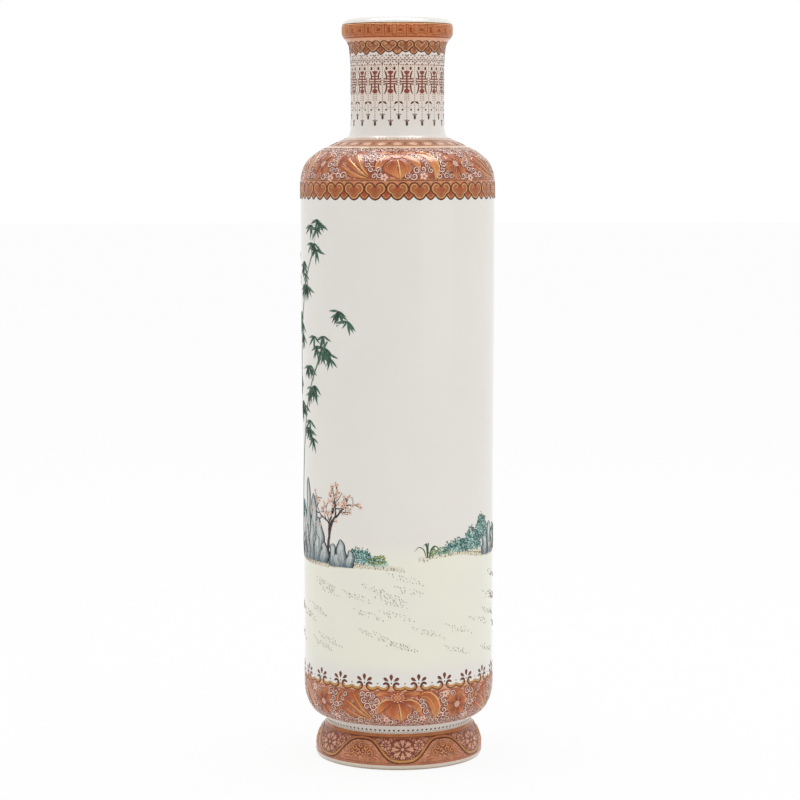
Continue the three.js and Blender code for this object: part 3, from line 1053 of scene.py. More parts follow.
LOTUS_VEINS = [
    ([(0.0, 1.9), (0.5, -0.4), (0.9, -2.8), (1.1, -5.9)], (0.4, 0.9, 1.1, 0.5)),
    ([(-2.4, 3.1), (-5.0, 3.1), (-7.3, 1.9), (-8.7, 0.0), (-8.8, -2.0)], (0.4, 1.05, 0.9, 0.6, 0.2)),
    ([(2.0, 2.9), (4.8, 3.1), (7.5, 2.1), (9.2, 0.3), (9.3, -1.6)], (0.4, 1.05, 0.9, 0.6, 0.2)),
    ([(8.4, 4.7), (10.8, 5.7), (13.6, 5.2), (16.1, 2.8), (17.3, -0.4), (16.8, -3.4), (15.4, -5.6)],
     (0.3, 0.6, 1.0, 1.0, 0.7, 0.3)),
    ([(9.0, 4.1), (11.6, 3.9), (13.6, 2.0), (15.0, -0.8), (15.4, -3.6)], (0.2, 0.5, 0.5, 0.4, 0.2)),
    ([(-22.8, 2.4), (-19.6, 0.4), (-15.6, -2.4), (-11.9, -4.8)], (0.3, 1.0, 0.8, 0.3)),
    ([(-18.8, 4.8), (-17.0, 2.0), (-14.6, -1.4), (-11.6, -4.4)], (0.3, 0.9, 0.8, 0.3)),
    ([(-24.4, -0.8), (-20.8, -2.4), (-16.4, -4.2), (-12.6, -5.1)], (0.2, 0.7, 0.6, 0.2)),
    ([(-23.6, 5.2), (-25.4, 4.4), (-26.6, 2.6), (-26.9, 0.4), (-26.1, -1.8)], (0.2, 0.5, 0.6, 0.5, 0.2)),
    ([(-2.6, 4.7), (-4.8, 5.4), (-7.4, 5.3)], (0.2, 0.45, 0.2)),
    ([(2.2, 4.8), (4.2, 5.5), (6.9, 5.4)], (0.2, 0.45, 0.2)),
    ([(-2.6, 0.6), (-4.0, -1.2), (-3.9, -2.8)], (0.1, 0.35, 0.1)),
    ([(2.2, 0.8), (3.7, -0.8), (3.9, -2.5)], (0.1, 0.35, 0.1)),
]
LOTUS_BLOSSOMS = [(-5.2, -5.0), (10.4, -4.6), (19.6, 4.6), (-28.8, -5.2)]
LOTUS_PITCH = 60.8  # the width that the tables above are drawn for
FLOWER_AT = np.array([25.6, 0.0])
FLOWER_SWELL = [0.3, 0.8, 1.3, 1.75, 2.05, 2.1, 1.9, 1.5, 0.9, 0.1]


def inside(points, polygon):
    """Which points a polygon holds: those with an odd number of its sides to their right."""
    (x, y), (x0, y0) = points.T[:, :, None], polygon.T[:, None]
    x1, y1 = np.roll(x0, -1), np.roll(y0, -1)
    with np.errstate(divide="ignore", invalid="ignore"):
        crossed = ((y0 > y) != (y1 > y)) & (x < x0 + (y - y0) * (x1 - x0) / (y1 - y0))
    return crossed.sum(1) % 2 == 1


def lotus_band(name, z, radius, low, high, up):
    """A lotus, its leaves and a smaller open flower, repeated round the vase, and pale scrolls on all the
    ground between. The band runs from low to high about its height z, and the drawing's heights are scaled
    by up."""
    work = Work(name, z, radius)
    add = work.around(LOTUS_UNITS)
    pitch = TURN * radius / LOTUS_UNITS
    shape = np.array([pitch / LOTUS_PITCH, up])
    taken = []

    # Small pale blossoms of five lobes stand in the ground.
    lobe = fill(round_outline(0.78, 0.62, 10), (0, 0), 0.08, 0.06, (1, 0.6))
    for spot in np.array(LOTUS_BLOSSOMS) * shape:
        taken.append(round_outline(1.7, 1.7) + spot)
        lobes = (spot + 0.9 * round_outline(1, 1, 5)).T
        add("scroll_pink", copies(lobe, *lobes, angles(5), tone=0.6))
        add("petal", dots([spot], 0.45, 0.12))

    def bud(x, y, across, tall):
        outline = (round_outline(across, tall, 20) + [x, y]) * shape
        taken.append(outline)
        add("petal", fill(outline, outline.mean(0), 0.07, 0.05, tone=0.2, centre_tone=0.6))
        rows = [(r * across * math.cos(a), r * tall * math.sin(a))
                for r, n in ((0.0, 1), (0.4, 6), (0.8, 12)) for a in angles(n)]
        add("pale", dots((np.array(rows) + [x, y]) * shape, 0.3, 0.1, 0.05))

    def petal(paint, first, second, tone, edge_tone):
        edge = np.vstack([first, second[::-1]])
        taken.append(edge)
        add(paint, web(first, second, 0.05, 0.05, 7, tone, edge_tone))
        add("bracket_brown", closed_stroke(edge, 0.28, lift=0.07, crown=0.04))

    for group, paint in ((LOTUS_PETALS, "petal"), (LOTUS_LEAVES, "leaf")):
        for first, second in group:
            petal(paint, smooth(first, 16) * shape, smooth(second, 16) * shape, (0.0, 0.2, 0.6, 1.0), 0.3)
    for path, size in LOTUS_VEINS:
        add("gilt", stroke(smooth(path, 16) * shape, size, 0.09))
    bud(-0.4, 3.9, 3.2, 1.9)
    # The open flower: six petals, each one darker towards the middle.
    reach, swell = 5.6 * np.linspace(0.2, 1, 10)[:, None], np.array(FLOWER_SWELL)[:, None]
    for angle in angles(6) + 0.3:
        way = np.array([math.cos(angle), math.sin(angle)])
        side = np.array([-way[1], way[0]])
        middle = FLOWER_AT + way * reach
        first, second = (middle - side * swell) * shape, (middle + side * swell) * shape
        petal("petal", first, second, (0.0, 0.3, 0.9), 0.2)
        add("gilt", stroke((middle * shape)[:8], (0.2, 0.4, 0.15), 0.09))
    bud(*FLOWER_AT, 1.3, 1.2)
    # Scrolls stand on a jittered grid, wherever their middle and most points about it are on bare ground.
    rng = np.random.default_rng(int(z))
    across, rows = int(pitch / 2.5), np.arange(low + 1.2, high - 0.9, 2.25)
    x, y = np.meshgrid(np.arange(across) * pitch / across, rows)
    x = x + (np.arange(len(rows)) % 2)[:, None] * pitch / across / 2 - pitch / 2
    spots = np.stack([x.ravel(), y.ravel()], 1) + rng.uniform(-0.3, 0.3, (x.size, 2))

    def covered(points):
        return np.any([inside(points, outline) for outline in taken], axis=0)

    about = sum(covered(spots + (math.cos(a), math.sin(a))).astype(int) for a in angles(6))
    spots = spots[~covered(spots) & (about < 3)]
    turn, size = rng.uniform(0, TURN, len(spots)), rng.uniform(0.84, 1.26, len(spots))
    # Each is a pale coil on a dark bed, with a dark coil inside it.
    coil = np.vstack([[(1.6, -1.2), (1.4, -0.5)], spiral(1.3, 1.25, 18)])
    bed = stroke(coil, (0.55, 1.2, 1.28, 1.12, 0.75), 0.09, 0.01, 4)
    pale = stroke(coil, (0.32, 0.82, 0.9, 0.78, 0.6), 0.11, 0.06, tone=(0.2, 0.0, 0.7))
    dark = stroke(spiral(1.7, 1.3, 18), (0.2, 0.4, 0.34), 0.05, 0.03)
    add("dark_red_line", copies(bed, *spots.T, turn, size))
    add("scroll_pink", copies(pale, *spots.T, turn, size))
    add("dark_red_line", copies(dark, *spots.T, turn + math.pi, size))
    # Small dabs fill the corners between the scrolls.
    comma = smooth([(-0.9, 0.1), (-0.3, 0.6), (0.5, 0.5), (0.8, -0.2)], 8)
    loose = spots + rng.normal(0, 0.2, spots.shape) + [pitch / across / 2, 0]
    loose = loose[~covered(loose)]
    turn = rng.uniform(0, TURN, len(loose))
    add("scroll_pink", copies(stroke(comma, (0.2, 0.6, 0.2)), *loose.T, turn, 0.8))
    work.lay()


class VASE_OT_shoulder(bpy.types.Operator):
    """Paint the shoulder's lotus band and the ring of ovals above it"""

    bl_idname = "vase.shoulder"
    bl_label = "Shoulder lotus"

    def execute(self, context):
        ring("shoulder_ground", 236.1, 248.9, "lotus_ground", 0.03)
        ring("shoulder_top_band", 248.7, 251.5, "oval_ground", 0.03, 0.4)
        ring("neck_foot_blush", 251.5, 252.6, "blush", 0.02, 0.2)
        # The shoulder's gilt line is near white all round, as a painted highlight.
        line("shoulder_gilt_line", 248.38, 248.78, "bright_gilt", 0.09)
        line("shoulder_top_line", 251.35, 251.55, "brown_line", 0.05)
        form, middle = Outline(), 242.2
        low, high = form.rise(middle, 236.3, 248.6)
        lotus_band("shoulder_lotus", middle, form.radius(middle), low, high, (high - low) / 14.6)
        ovals = Work("shoulder_ovals", 250.0)
        add = ovals.around(OVALS)
        body = round_outline(2.05, 1.35, 20)
        add("oval_pink", fill(body, (0, 0), 0.05, 0.06, tone=0.6))
        add("iron_line", closed_stroke(body, 0.3, lift=0.06, crown=0.03),
            drawn([(-1.3, -0.2), (-0.2, 0.3), (1.2, 0.1)], (0.1, 0.26, 0.1), lift=0.09))
        add("dark_red_line", *[drawn([(2.4, -y), (3.03, 0.0), (3.6, y)][::way], (0.2, 0.5, 0.2))
                               for y, way in ((1.5, 1), (-1.5, -1))])
        ovals.lay()
        bead_ring = Work("neck_foot_beads", 252.0)
        bead_ring.around(NECK_BEADS)("bracket_brown", dots([(0, 0)], 0.4))
        return bead_ring.lay()


class VASE_OT_underside(bpy.types.Operator):
    """Paint the lotus band on the bowl and the dots on the waist"""

    bl_idname = "vase.underside"
    bl_label = "Bowl lotus"

    def execute(self, context):
        form, middle = Outline(), 26.4
        ring("bowl_ground", 18.1, 33.1, "bowl_ground", 0.03)
        line("bowl_lower_line", 17.95, 18.35, "ochre")
        low, high = form.rise(middle, 18.3, 33.0)
        lotus_band("bowl_lotus", middle, BOWL_R, low, high, (high - low) / 14.9)
        waist = Work("waist_beads", 15.5)
        waist.around(WAIST_BEADS)("bead_dark", dots([(0, 0)], 0.52))
        waist.around(WAIST_DOTS)("bead_dark", dots([(0, -1.05)], 0.22, sides=6))
        return waist.lay()


class VASE_OT_palmettes(bpy.types.Operator):
    """Paint the brackets and palmettes that stand on the bowl's band"""

    bl_idname = "vase.palmettes"
    bl_label = "Palmette border"

    def execute(self, context):
        line("palmette_red_line", 32.85, 33.2, "iron_line")
        work = Work("palmettes", 34.55)
        palmettes, brackets = work.around(PALMETTES, -0.265), work.around(PALMETTES, 0.235)
        start = [(0, -0.1), (0.8, -0.8), (1.8, -1.1), (2.9, -1.15), (3.9, -0.75)]
        bracket = smooth(start + [(4.6, 0.15), (4.5, 1.2), (3.9, 1.85), (3.0, 1.9), (2.3, 1.4)], 30)
        band = smooth([(0, 0.45), (0.9, -0.1), (2.0, -0.4), (2.9, -0.4), (3.6, 0.0), (3.95, 0.6),
                       (3.75, 1.1)], 20)
        rise = smooth(start + [(4.65, 0.1), (4.9, 0.9), (5.6, 1.5)], 20)
        ground = web(np.stack([rise[:, 0], np.full(len(rise), -1.75)], 1), rise, 0.03, 0.01)
        brackets("peach_ground", ground, moved(ground, across=-1))
        brackets("cord_gold", both_sides(stroke(band, (1.3, 1.5, 1.4, 1.2, 0.9), 0.04)))
        brackets("bracket_brown", both_sides(stroke(bracket, (0.45, 0.5, 0.52, 0.55, 0.62, 1.0, 1.25, 0.8))),
                 dots([(0, 1.8)], 0.33))
        petal = smooth(arch([(0, -1.4), (0.68, 0.1), (0.58, 1.0), (0, 1.5)]), 17)[:-1]
        petal = fill(petal, (0, 0.3), 0.04, 0.08, centre_tone=0.5)
        palmettes("bracket_brown", moved(petal, y=4.1), both_sides(copies(petal, 2.0, 3.35, -0.95, 0.92)),
                  dots([(0, 1.9)], 0.36))
        return work.lay()


# The foot's drawings. Florets are x, y and their size across and up. The curls on the lappets are x, y and
# turn; those on the crests have a size too.

FLORET_AT = [(0, 0.95, 1.1, 0.98), (7.1, 2.6, 0.56, 0.56), (-7.1, 2.6, 0.56, 0.56), (10.8, 4.3, 0.28, 0.28),
             (-10.8, 4.3, 0.28, 0.28)]
LAPPET_CURLS = [(4.2, -1.9, 2.6), (5.5, -0.2, 4.0), (8.6, 0.9, 1.0), (12.6, 4.9, 3.4), (2.4, -3.3, 2.2),
                (9.4, 5.0, 0.6), (4.9, 4.6, 5.2)]
LAPPET_DOTS = [(3.4, 5.3), (12.2, 4.0), (6.6, 0.1), (3.4, -2.7), (5.0, 1.6), (7.9, 5.2), (4.5, 0.4),
               (10.0, 2.6), (1.2, -4.2)]
CREST_CURLS = [(-4.0, -0.7, 2.4, 1), (-2.6, 1.2, 1.6, 1), (0, 2.0, 0.9, 1), (2.6, 1.2, 0.2, 1),
               (4.0, -0.7, 5.6, 1), (-1.3, -0.2, 3.6, 1), (1.4, -0.1, 4.9, 1), (-5.6, -1.7, 3.0, 0.6),
               (5.6, -1.7, 0.3, 0.6), (-2.7, -1.6, 1.2, 0.6), (2.8, -1.6, 4.4, 0.6), (-4.4, 1.0, 2.0, 0.6),
               (4.3, 1.1, 0.6, 0.6), (-1.3, 2.9, 5.1, 0.6), (1.4, 2.9, 2.7, 0.6)]
CREST_DABS = [(-0.9, -1.5), (0.9, -1.5), (0, -2.4), (-2.1, -2.2), (2.1, -2.2), (0, -0.9)]
CREST_STREAKS = [[(-9.2, -3.2), (-7.0, -2.2), (-5.4, -2.4)], [(-7.6, -3.7), (-5.8, -3.1), (-4.0, -3.5)],
                 [(9.2, -3.2), (7.2, -2.1), (5.2, -2.6)], [(7.8, -3.6), (6.0, -2.9), (4.4, -3.4)]]


class VASE_OT_foot(bpy.types.Operator):
    """Paint the foot's waving cord, its florets and its cloud scrolls"""

    bl_idname = "vase.foot"
    bl_label = "Foot"

    def execute(self, context):
        form, middle, first = Outline(), 7.6, 2.7 / 60
        ring("foot_orange", 2.3, 13.9, "foot_ground", 0.03, 0.4)
        line("foot_red_line", 2.15, 2.5, "iron_line")
        line("foot_upper_red_line", 3.0, 3.2, "dark_red_line", 0.06)
        ring("foot_top_band", 12.9, 14.1, "foot_tan", 0.07, 0.2)
        line("foot_top_shadow", 12.75, 12.98, "brown_line", 0.09)
        work = Work("foot_work", middle, form.radius(5.0))
        lappets, crests = work.around(FOOT_UNITS, first), work.around(FOOT_UNITS, first + 0.5)
        pitch = TURN * work.radius / FOOT_UNITS
        rise, fall, lid = form.rise(middle, 12.4, 3.8, 12.95)
        # The cord waves between the lappets above it and the crests below.
        x = np.linspace(-pitch / 2, pitch / 2, 49)
        swing = np.cos(TURN * x / pitch) - 0.1 * np.cos(3 * TURN * x / pitch)
        wave = np.stack([x, (rise + fall) / 2 - (rise - fall) / 1.8 * swing], 1)
        lappets("lappet_red", web(wave, np.stack([x, np.full(len(x), lid)], 1), 0.05, 0.0, 15))
        lappets("cord_gold", stroke(wave, 1.25, 0.12, 0.14, 5, tone=np.clip((1 - swing) / 2, 0, 1)))
        lappets("brown_line", stroke(wave - 0.82 * left_of(wave), (0.95, 0.8, 0.5, 0.8, 0.95), 0.09),
                stroke(wave + 0.62 * left_of(wave), 0.3, 0.11, 0.04))
        # Florets of eight lobes on the lappets, with a dark wedge in each lobe and curls about them.
        eight, between = angles(8), angles(8) + TURN / 16
        lobe = smooth(arch([(0, 0.6), (0.28, 1.5), (0.6, 2.5), (0.95, 3.4), (0.62, 4.2), (0, 3.9)]), 25)[:-1]
        lobes = copies(fill(lobe, (0, 2.7), 0.06, 0.08, tone=0.7), np.zeros(8), turn=eight)
        wedge = stroke([(0, 1.3), (0, 2.2), (0, 3.7)], (0.1, 0.46, 0.12), 0.14, 0.03)
        wedges = joined([copies(wedge, np.zeros(8), turn=eight),
                         closed_stroke(round_outline(1.2, 1.2), 0.3, lift=0.13)])
        seeds = 3.1 * np.stack([np.cos(between), np.sin(between)], 1)
        hub = joined([dots([(0, 0)], 0.7, 0.1), dots(seeds, 0.3, 0.08)])
        curl = stroke(spiral(0.95, 1.1, 12), (0.3, 0.5, 0.4), 0.06, 0.06)
        lappets("floret_pink", *[moved(part, *spot) for part in (lobes, hub) for spot in FLORET_AT],
                both_sides(copies(curl, *zip(*LAPPET_CURLS))), both_sides(dots(LAPPET_DOTS, 0.36)))
        lappets("dark_red_line", *[moved(wedges, *spot) for spot in FLORET_AT[:3]])
        # Clustered cloud scrolls, streaks and fine stipple on the crests, on a shade that fades outwards.
        spread = np.linspace(-1, 1, 33)
        low = np.stack([spread * 6.9, -2.7 + 0.5 * spread ** 2], 1)
        high = np.stack([spread * 6.9, 3.5 - 5.0 * spread ** 2], 1)
        crests("crest_shade", web(low, high, 0.07, 0.0, 15, (0.1, 1.0, 1.0, 1.0, 0.1), -0.8))
        tail = np.vstack([[(2.2, -1.0), (1.7, -0.2)], spiral(1.3, 1.2, 14)])
        bed = stroke(tail, (0.6, 1.25, 1.2, 0.8), 0.09, 0.01, 4)
        gold = stroke(tail, (0.3, 0.86, 0.84, 0.5), 0.12, 0.08)
        for paint, drawing in (("dark_red_line", bed), ("crest_gold", gold)):
            crests(paint, copies(drawing, *zip(*CREST_CURLS)))
        crests("floret_pink", dots(CREST_DABS, 0.42, 0.06))
        crests("floret_pink", *[drawn(np.array(s) + [0, 0.5], (0.1, 0.6, 0.1)) for s in CREST_STREAKS])
        crests("iron_line", *[drawn(s, (0.15, 0.55, 0.15)) for s in CREST_STREAKS])
        rng = np.random.default_rng(STIPPLE_SEED)
        grains = rng.uniform([-pitch / 2, fall - 0.3], [pitch / 2, rise], (620, 2))
        clear = np.interp(grains[:, 0], x + pitch / 2, wave[:, 1], period=pitch) - 1.1
        grains = grains[grains[:, 1] < clear]
        crests("bracket_brown", dots(grains[::2], 0.16, 0.03, 0.04, 5))
        crests("floret_pink", dots(grains[1::2], 0.24, 0.03, 0.04, 5))
        return work.lay()


# The garden on the wall: bamboo, rocks, flowering plum, low bushes and orchids on pale ground. Places are
# x along the wall from the front and the height.

GARDEN_FOOT = 40.0  # the height that its drawings start from

# Bamboo canes from the ground up, and how many leaf sprays each one carries.
BAMBOO = [
    ([(-66, 86), (-64, 128), (-58, 165), (-47, 196), (-34, 216)], 8),
    ([(-60, 86), (-54, 122), (-46, 148), (-34, 168), (-26, 178)], 7),
    ([(-76, 87), (-77, 130), (-74, 170), (-64, 205)], 8),
    ([(-90, 88), (-93, 135), (-90, 175), (-83, 212)], 8),
    ([(-96, 88), (-101, 120), (-107, 148)], 4),
    ([(112, 89), (110, 130), (104, 170), (94, 202)], 7),
    ([(107, 88), (103, 112), (96, 138)], 4),
]
JOINT_STEPS = 6  # how many points of a cane lie from one of its joints to the next
# Rocks as x, height of the foot, and folds: each fold's left and right foot, its tip and its height.
ROCKS = [
    (-44, 84, [(-9, -3, -7.5, 20), (-6, 1, -3.5, 33), (-1, 5, 2, 27), (3, 9, 6, 18), (-10, -5, -9, 10),
               (-6, -1, -4.5, 14), (-2, 3, 0, 17), (2, 7, 4.5, 11), (6, 12, 10, 8)]),
    (-26, 83, [(-5, 0, -3, 9), (-1, 4, 1, 11), (3, 7, 5.5, 7), (-3, 2, -1, 5)]),
    (-61, 86, [(-5, 1, -3, 14), (-1, 5, 2, 10), (-4, 1, -2, 6)]),
    (46, 86, [(-5, 0, -3, 8), (-1, 5, 2, 13), (3, 8, 6, 9), (0, 4, 2, 5)]),
    (84, 86, [(-9, -3, -7, 19), (-4, 3, -1, 31), (1, 7, 4, 24), (5, 11, 9, 14), (-7, -1, -5, 12),
              (0, 6, 3, 12)]),
    (-104, 88, [(-6, 0, -4, 12), (-2, 4, 1, 17), (3, 8, 6, 10)]),
]
# Bushes as x, height of the foot, half width, height and paint.
BUSHES = [
    (-15.5, 84.5, 6, 6, "turquoise"), (-8.5, 83.8, 4.5, 3.5, "spring_green"), (-55, 100, 4, 6, "turquoise"),
    (-66, 88, 6, 9, "turquoise"), (17, 88, 4.5, 2.5, "spring_green"), (25, 88.5, 6, 5, "turquoise"),
    (34, 88.5, 6, 9, "turquoise"), (41, 92, 5, 10, "turquoise"), (54, 88, 5, 8, "turquoise"),
    (62, 88, 8, 6, "spring_green"), (99, 88, 8, 9, "turquoise"), (-92, 88, 8, 6, "spring_green"),
    (-116, 89, 7, 7, "turquoise"),
]
# Orchids as x, height of the foot and size, and the crests of the banks.
ORCHIDS = [(12, 86.5, 0.7), (-50, 84, 0.9), (70, 87, 1.2), (92, 90, 1.1), (-84, 88, 1.1), (118, 88, 1.0)]
BANKS = [
    [(-122, 90), (-100, 88), (-80, 89), (-62, 86), (-50, 83.4), (-34, 83), (-20, 83.6), (-9, 83.4),
     (2, 82.2)],
    [(8, 86.2), (17, 87.6), (28, 88.2), (40, 86.4), (52, 86), (64, 88), (84, 85.6), (100, 87.6), (122, 90)],
]
# How many groups of grass there are, and the share of their dashes that is drawn.
GRASS_GROUPS, GRASS_SHARE = 52, 0.72


def at(points):
    """Places on the wall, in the garden's drawing."""
    return np.asarray(points, float) - [0, GARDEN_FOOT]


def dab(long, wide, count=7):
    """A leaf or a brush dab along x from its stalk at the origin. At share t of its length, each edge lies
    half the width times the sine of half a turn times t to the power of 0.8 to its side."""
    t = np.linspace(0, 1, count)
    half = wide / 2 * np.sin(math.pi * t ** 0.8)
    edges = (np.stack([long * t, side * half], 1) for side in (-1, 1))
    return web(*edges, 0.04, 0.07, 3, (0.0, 0.2, 0.6), 0.25)


def bamboo(add, rng):
    """Jointed canes, from whose upper half sprays of five leaves leave to either side on twigs."""
    leaves = []
    for cane, sprays in BAMBOO:
        path = at(smooth(cane, 40))
        for first in range(0, 36, JOINT_STEPS):
            piece = path[first:first + JOINT_STEPS + 1]
            joint = piece + (piece.mean(0) - piece) * 0.05
            add("cane_green", stroke(joint, (1.15, 0.95, 1.15), crown=0.12, tone=(0.1, 0.5, 0.1),
                                     edge_tone=0.5))
            add("brown_line", stroke(piece[:1] + [(-0.7, -0.12), (0, 0.1), (0.7, -0.12)], 0.22, 0.14))
        for number, share in enumerate(np.linspace(0.5, 1, sprays)):
            start = path[int(share * (len(path) - 1))]
            reach = (-1) ** number * rng.uniform(3, 7) * (1.35 - share)
            hub = start + [reach, rng.uniform(1.5, 3.5)]
            count = rng.integers(3, 6)
            hubs = hub + rng.normal(0, 1, (count, 2)) * [2.4, 1.8]
            for end in hubs:
                twig = [start, (start + end) / 2 + [0, 0.8], end]
                add("cane_green", drawn(twig, (0.3, 0.22, 0.12), tone=0.2))
            turns = np.radians([-165, -128, -98, -70, -32]) + rng.normal(0, 0.16, (count, 5))
            sizes = rng.uniform(0.75, 1.2, count * 5)
            leaves.append(np.column_stack([np.repeat(hubs, 5, axis=0), turns.ravel(), sizes]))
    leaves = np.vstack(leaves).T
    add("leaf_green", copies(dab(5.4, 1.35), *leaves, rng.uniform(-0.2, 0.7, leaves.shape[1])))
    add("leaf_dark", copies(stroke([(0, 0), (2.2, 0), (4.6, 0)], (0.1, 0.22, 0.08), 0.12), *leaves))


def grow(rng, start, heading, long, wide, forks, boughs, buds):
    """A bough that wanders as it grows, thins towards its tip and forks; the last twigs carry buds."""
    steps = 7
    headings = heading + rng.normal(0, 0.2, steps).cumsum()
    way = np.stack([np.cos(headings), np.sin(headings)], 1) * long / steps
    path = np.vstack([start, start + np.cumsum(way, axis=0)])
    boughs.append((path, (wide, wide * 0.6)))
    if forks == 0:
        buds += [path[-1], path[4]]
        return
    for step, side in ((3, -1), (5, 1), (7, -0.6), (7, 0.7)):
        way = headings[step - 1] + side * rng.uniform(0.5, 1.0)
        grow(rng, path[step], way, long * rng.uniform(0.42, 0.66), wide * 0.56, forks - 1, boughs, buds)


def plum(add, rng):
    """A small plum tree. Each third bud is open, with five petals."""
    boughs, buds = [], []
    grow(np.random.default_rng(PLUM_SEED), np.array([-31.0, 86.0]), 1.5, 17, 1.9, 3, boughs, buds)
    for path, size in boughs:
        bough = at(closer(path, 0.8))
        add("bark", stroke(bough + rng.normal(0, 0.07, bough.shape), size, crown=0.1, tone=(0.0, 0.5),
                           edge_tone=-0.3))
    petal = fill(round_outline(0.5, 0.45, 8), (0, 0), 0.09, 0.07, (1, 0.6), 0.0, 0.6)
    blossom = copies(petal, *(0.58 * round_outline(1, 1, 5)).T)
    buds = at(buds)
    blown = buds[::3]
    turn, size = rng.uniform(0, TURN, len(blown)), rng.uniform(0.8, 1.2, len(blown))
    add("pale", copies(blossom, *blown.T, turn, size))
    add("iron_line", dots(blown, 0.26, 0.14), dots(buds[1::3], 0.3, 0.1))


def fold(rng, left, right, tip, high):
    """The two edges of one fold of rock, from its foot to its rounded, slightly ragged tip."""
    wander = rng.normal(0, 0.05 * (right - left) + 0.25, (2, 3))
    third = (right - left) / 3
    second = [(left, 0), (left - 0.5 + wander[0, 0], 0.3 * high),
              (tip - 1.1 * third + wander[0, 1], 0.64 * high),
              (tip - 0.9 * third + wander[0, 2], 0.86 * high),
              (tip - 0.35 * third, 0.97 * high), (tip, high)]
    first = [(right, 0), (right + 0.5 + wander[1, 0], 0.27 * high),
             (tip + 1.4 * third + wander[1, 1], 0.58 * high),
             (tip + 1.1 * third + wander[1, 2], 0.82 * high),
             (tip + 0.5 * third, 0.96 * high), (tip + 0.05, high)]
    share = np.sin(np.linspace(0, math.pi, 20))[:, None]
    return [smooth(edge, 20) + smooth(rng.normal(0, 0.3, (7, 2)), 20) * share for edge in (first, second)]


def rocks(add, rng):
    """Upright rocks: each fold overlaps the ones before it, with dark rims and clefts and pale ribs."""
    for x, y, folds in ROCKS:
        for order, shape in enumerate(folds):
            first, second = (at(edge + [x, y - 0.9]) for edge in fold(rng, *shape))

            def across(share):
                return second + share * (first - second)

            lift = 0.06 + 0.015 * order
            add("rock_blue", web(first, second, lift, 0.06, 7, (0.9, 0.3, 0.1, 0.5), 0.9))
            rims = [stroke(edge, (0.35, 0.5, 0.3), lift + 0.03) for edge in (first, second)]
            clefts = [stroke(across(share)[3:end], (0.1, 0.26, 0.06), lift + 0.08)
                      for share, end in zip((0.22, 0.5, 0.8), rng.integers(8, 15, 3))]
            starts, sizes = rng.integers(3, 7, 2), rng.uniform(0.5, 0.9, 2)
            ribs = [stroke(across(share)[start:18], (0.1, size, 0.2), lift + 0.07)
                    for share, start, size in zip((0.36, 0.66), starts, sizes)]
            add("rock_line", *rims, *clefts)
            add("rock_pale", *ribs)


def bushes(add, rng):
    """Rounded heaps of dabs on a pale wash, with dark specks."""
    for x, y, across, up, paint in BUSHES:
        edge = round_outline(1, 1, 24) * rng.uniform(0.82, 1.1, (24, 1)) * [across, up * 0.85]
        edge[:, 1] = np.maximum(edge[:, 1], -0.4)
        add("bush_wash", fill(at(edge + [x, y]), at([x, y + 0.3 * up]), 0.02, 0.02))
        count = int(across * up * 4.2)
        r, a = np.sqrt(rng.uniform(0, 1, count)), rng.uniform(0, math.pi, count)
        spots = at(np.stack([x + across * r * np.cos(a), y + up * r * np.sin(a)], 1))
        add(paint, copies(dab(1.4, 0.85, 5), *spots.T, rng.uniform(0, TURN, count),
                          rng.uniform(0.6, 1.1, count), rng.uniform(-0.1, 0.9, count)))
        add("leaf_dark", dots(spots[::2] + rng.normal(0, 0.45, spots[::2].shape), 0.24, 0.1, 0.06, 6))


def orchids(add, rng):
    """Tufts of nine blades that bow outwards: the further out a blade leans, the lower it stays."""
    for x, y, size in ORCHIDS:
        for side in rng.uniform(-1, 1, 9):
            reach, high = 8 * side * size, (9 - 3 * abs(side)) * size
            blade = at([(x + side * 0.6, y), (x + reach * 0.35, y + high * 0.75),
                        (x + reach * 0.75, y + high), (x + reach * 1.1, y + high * (0.9 - 0.3 * abs(side)))])
            add("leaf_green", drawn(blade, (0.3, 0.55, 0.45, 0.12), tone=(0.1, 0.7)))


def banks(add, rng):
    """Low banks: two strokes of pale earth, a fine line along them and short blades below it."""
    for bank in BANKS:
        crest = at(closer(smooth(bank, 30), 1.2))
        crest = crest + rng.normal(0, 0.1, crest.shape)
        add("earth", stroke(crest - [0, 0.9], (0.4, 2.4, 1.6, 2.6, 0.4), 0.02, 0.01),
            stroke(crest + [0, 0.6], (0.4, 2.6, 2.8, 2.6, 0.4), 0.01, 0.01))
        add("grass", stroke(crest, (0.1, 0.3, 0.16, 0.34, 0.1)))
        count = int(len(crest) * 1.2)
        blades = even(crest - [0, 1.1], count) + rng.normal(0, [0.5, 0.3], (count, 2))
        turn, size = rng.normal(1.2, 0.2, count), rng.uniform(0.5, 1.1, count)
        add("bark", copies(dab(1.0, 0.3, 5), *blades.T, turn, size))


def grass(add, rng):
    """Short dashes in rows that slant down to the right, three rows to a group."""
    groups = np.stack([rng.uniform(-122, 122, GRASS_GROUPS), rng.uniform(47, 82, GRASS_GROUPS)], 1)
    along, row = np.meshgrid(np.arange(9) * 1.25, np.arange(3))
    tufts = np.stack([along + row * 1.6, -0.22 * along - row * 1.15], 2).reshape(-1, 2)
    spots = (groups[:, None] + tufts).reshape(-1, 2)
    spots = at(spots + rng.normal(0, 0.22, spots.shape))
    spots = spots[rng.uniform(0, 1, len(spots)) < GRASS_SHARE]
    add("grass", copies(dab(0.95, 0.32, 5), *spots.T, rng.normal(-0.9, 0.25, len(spots)),
                        rng.uniform(0.5, 1.05, len(spots))))


class VASE_OT_garden(bpy.types.Operator):
    """Paint the garden round the wall"""

    bl_idname = "vase.garden"
    bl_label = "Garden"

    def execute(self, context):
        rng = np.random.default_rng(GARDEN_SEED)
        work = Work("garden", GARDEN_FOOT, JOINT_R)
        for part in (bamboo, plum, rocks, bushes, orchids, banks, grass):
            part(work.around(), rng)
        return work.lay()


# The stage.

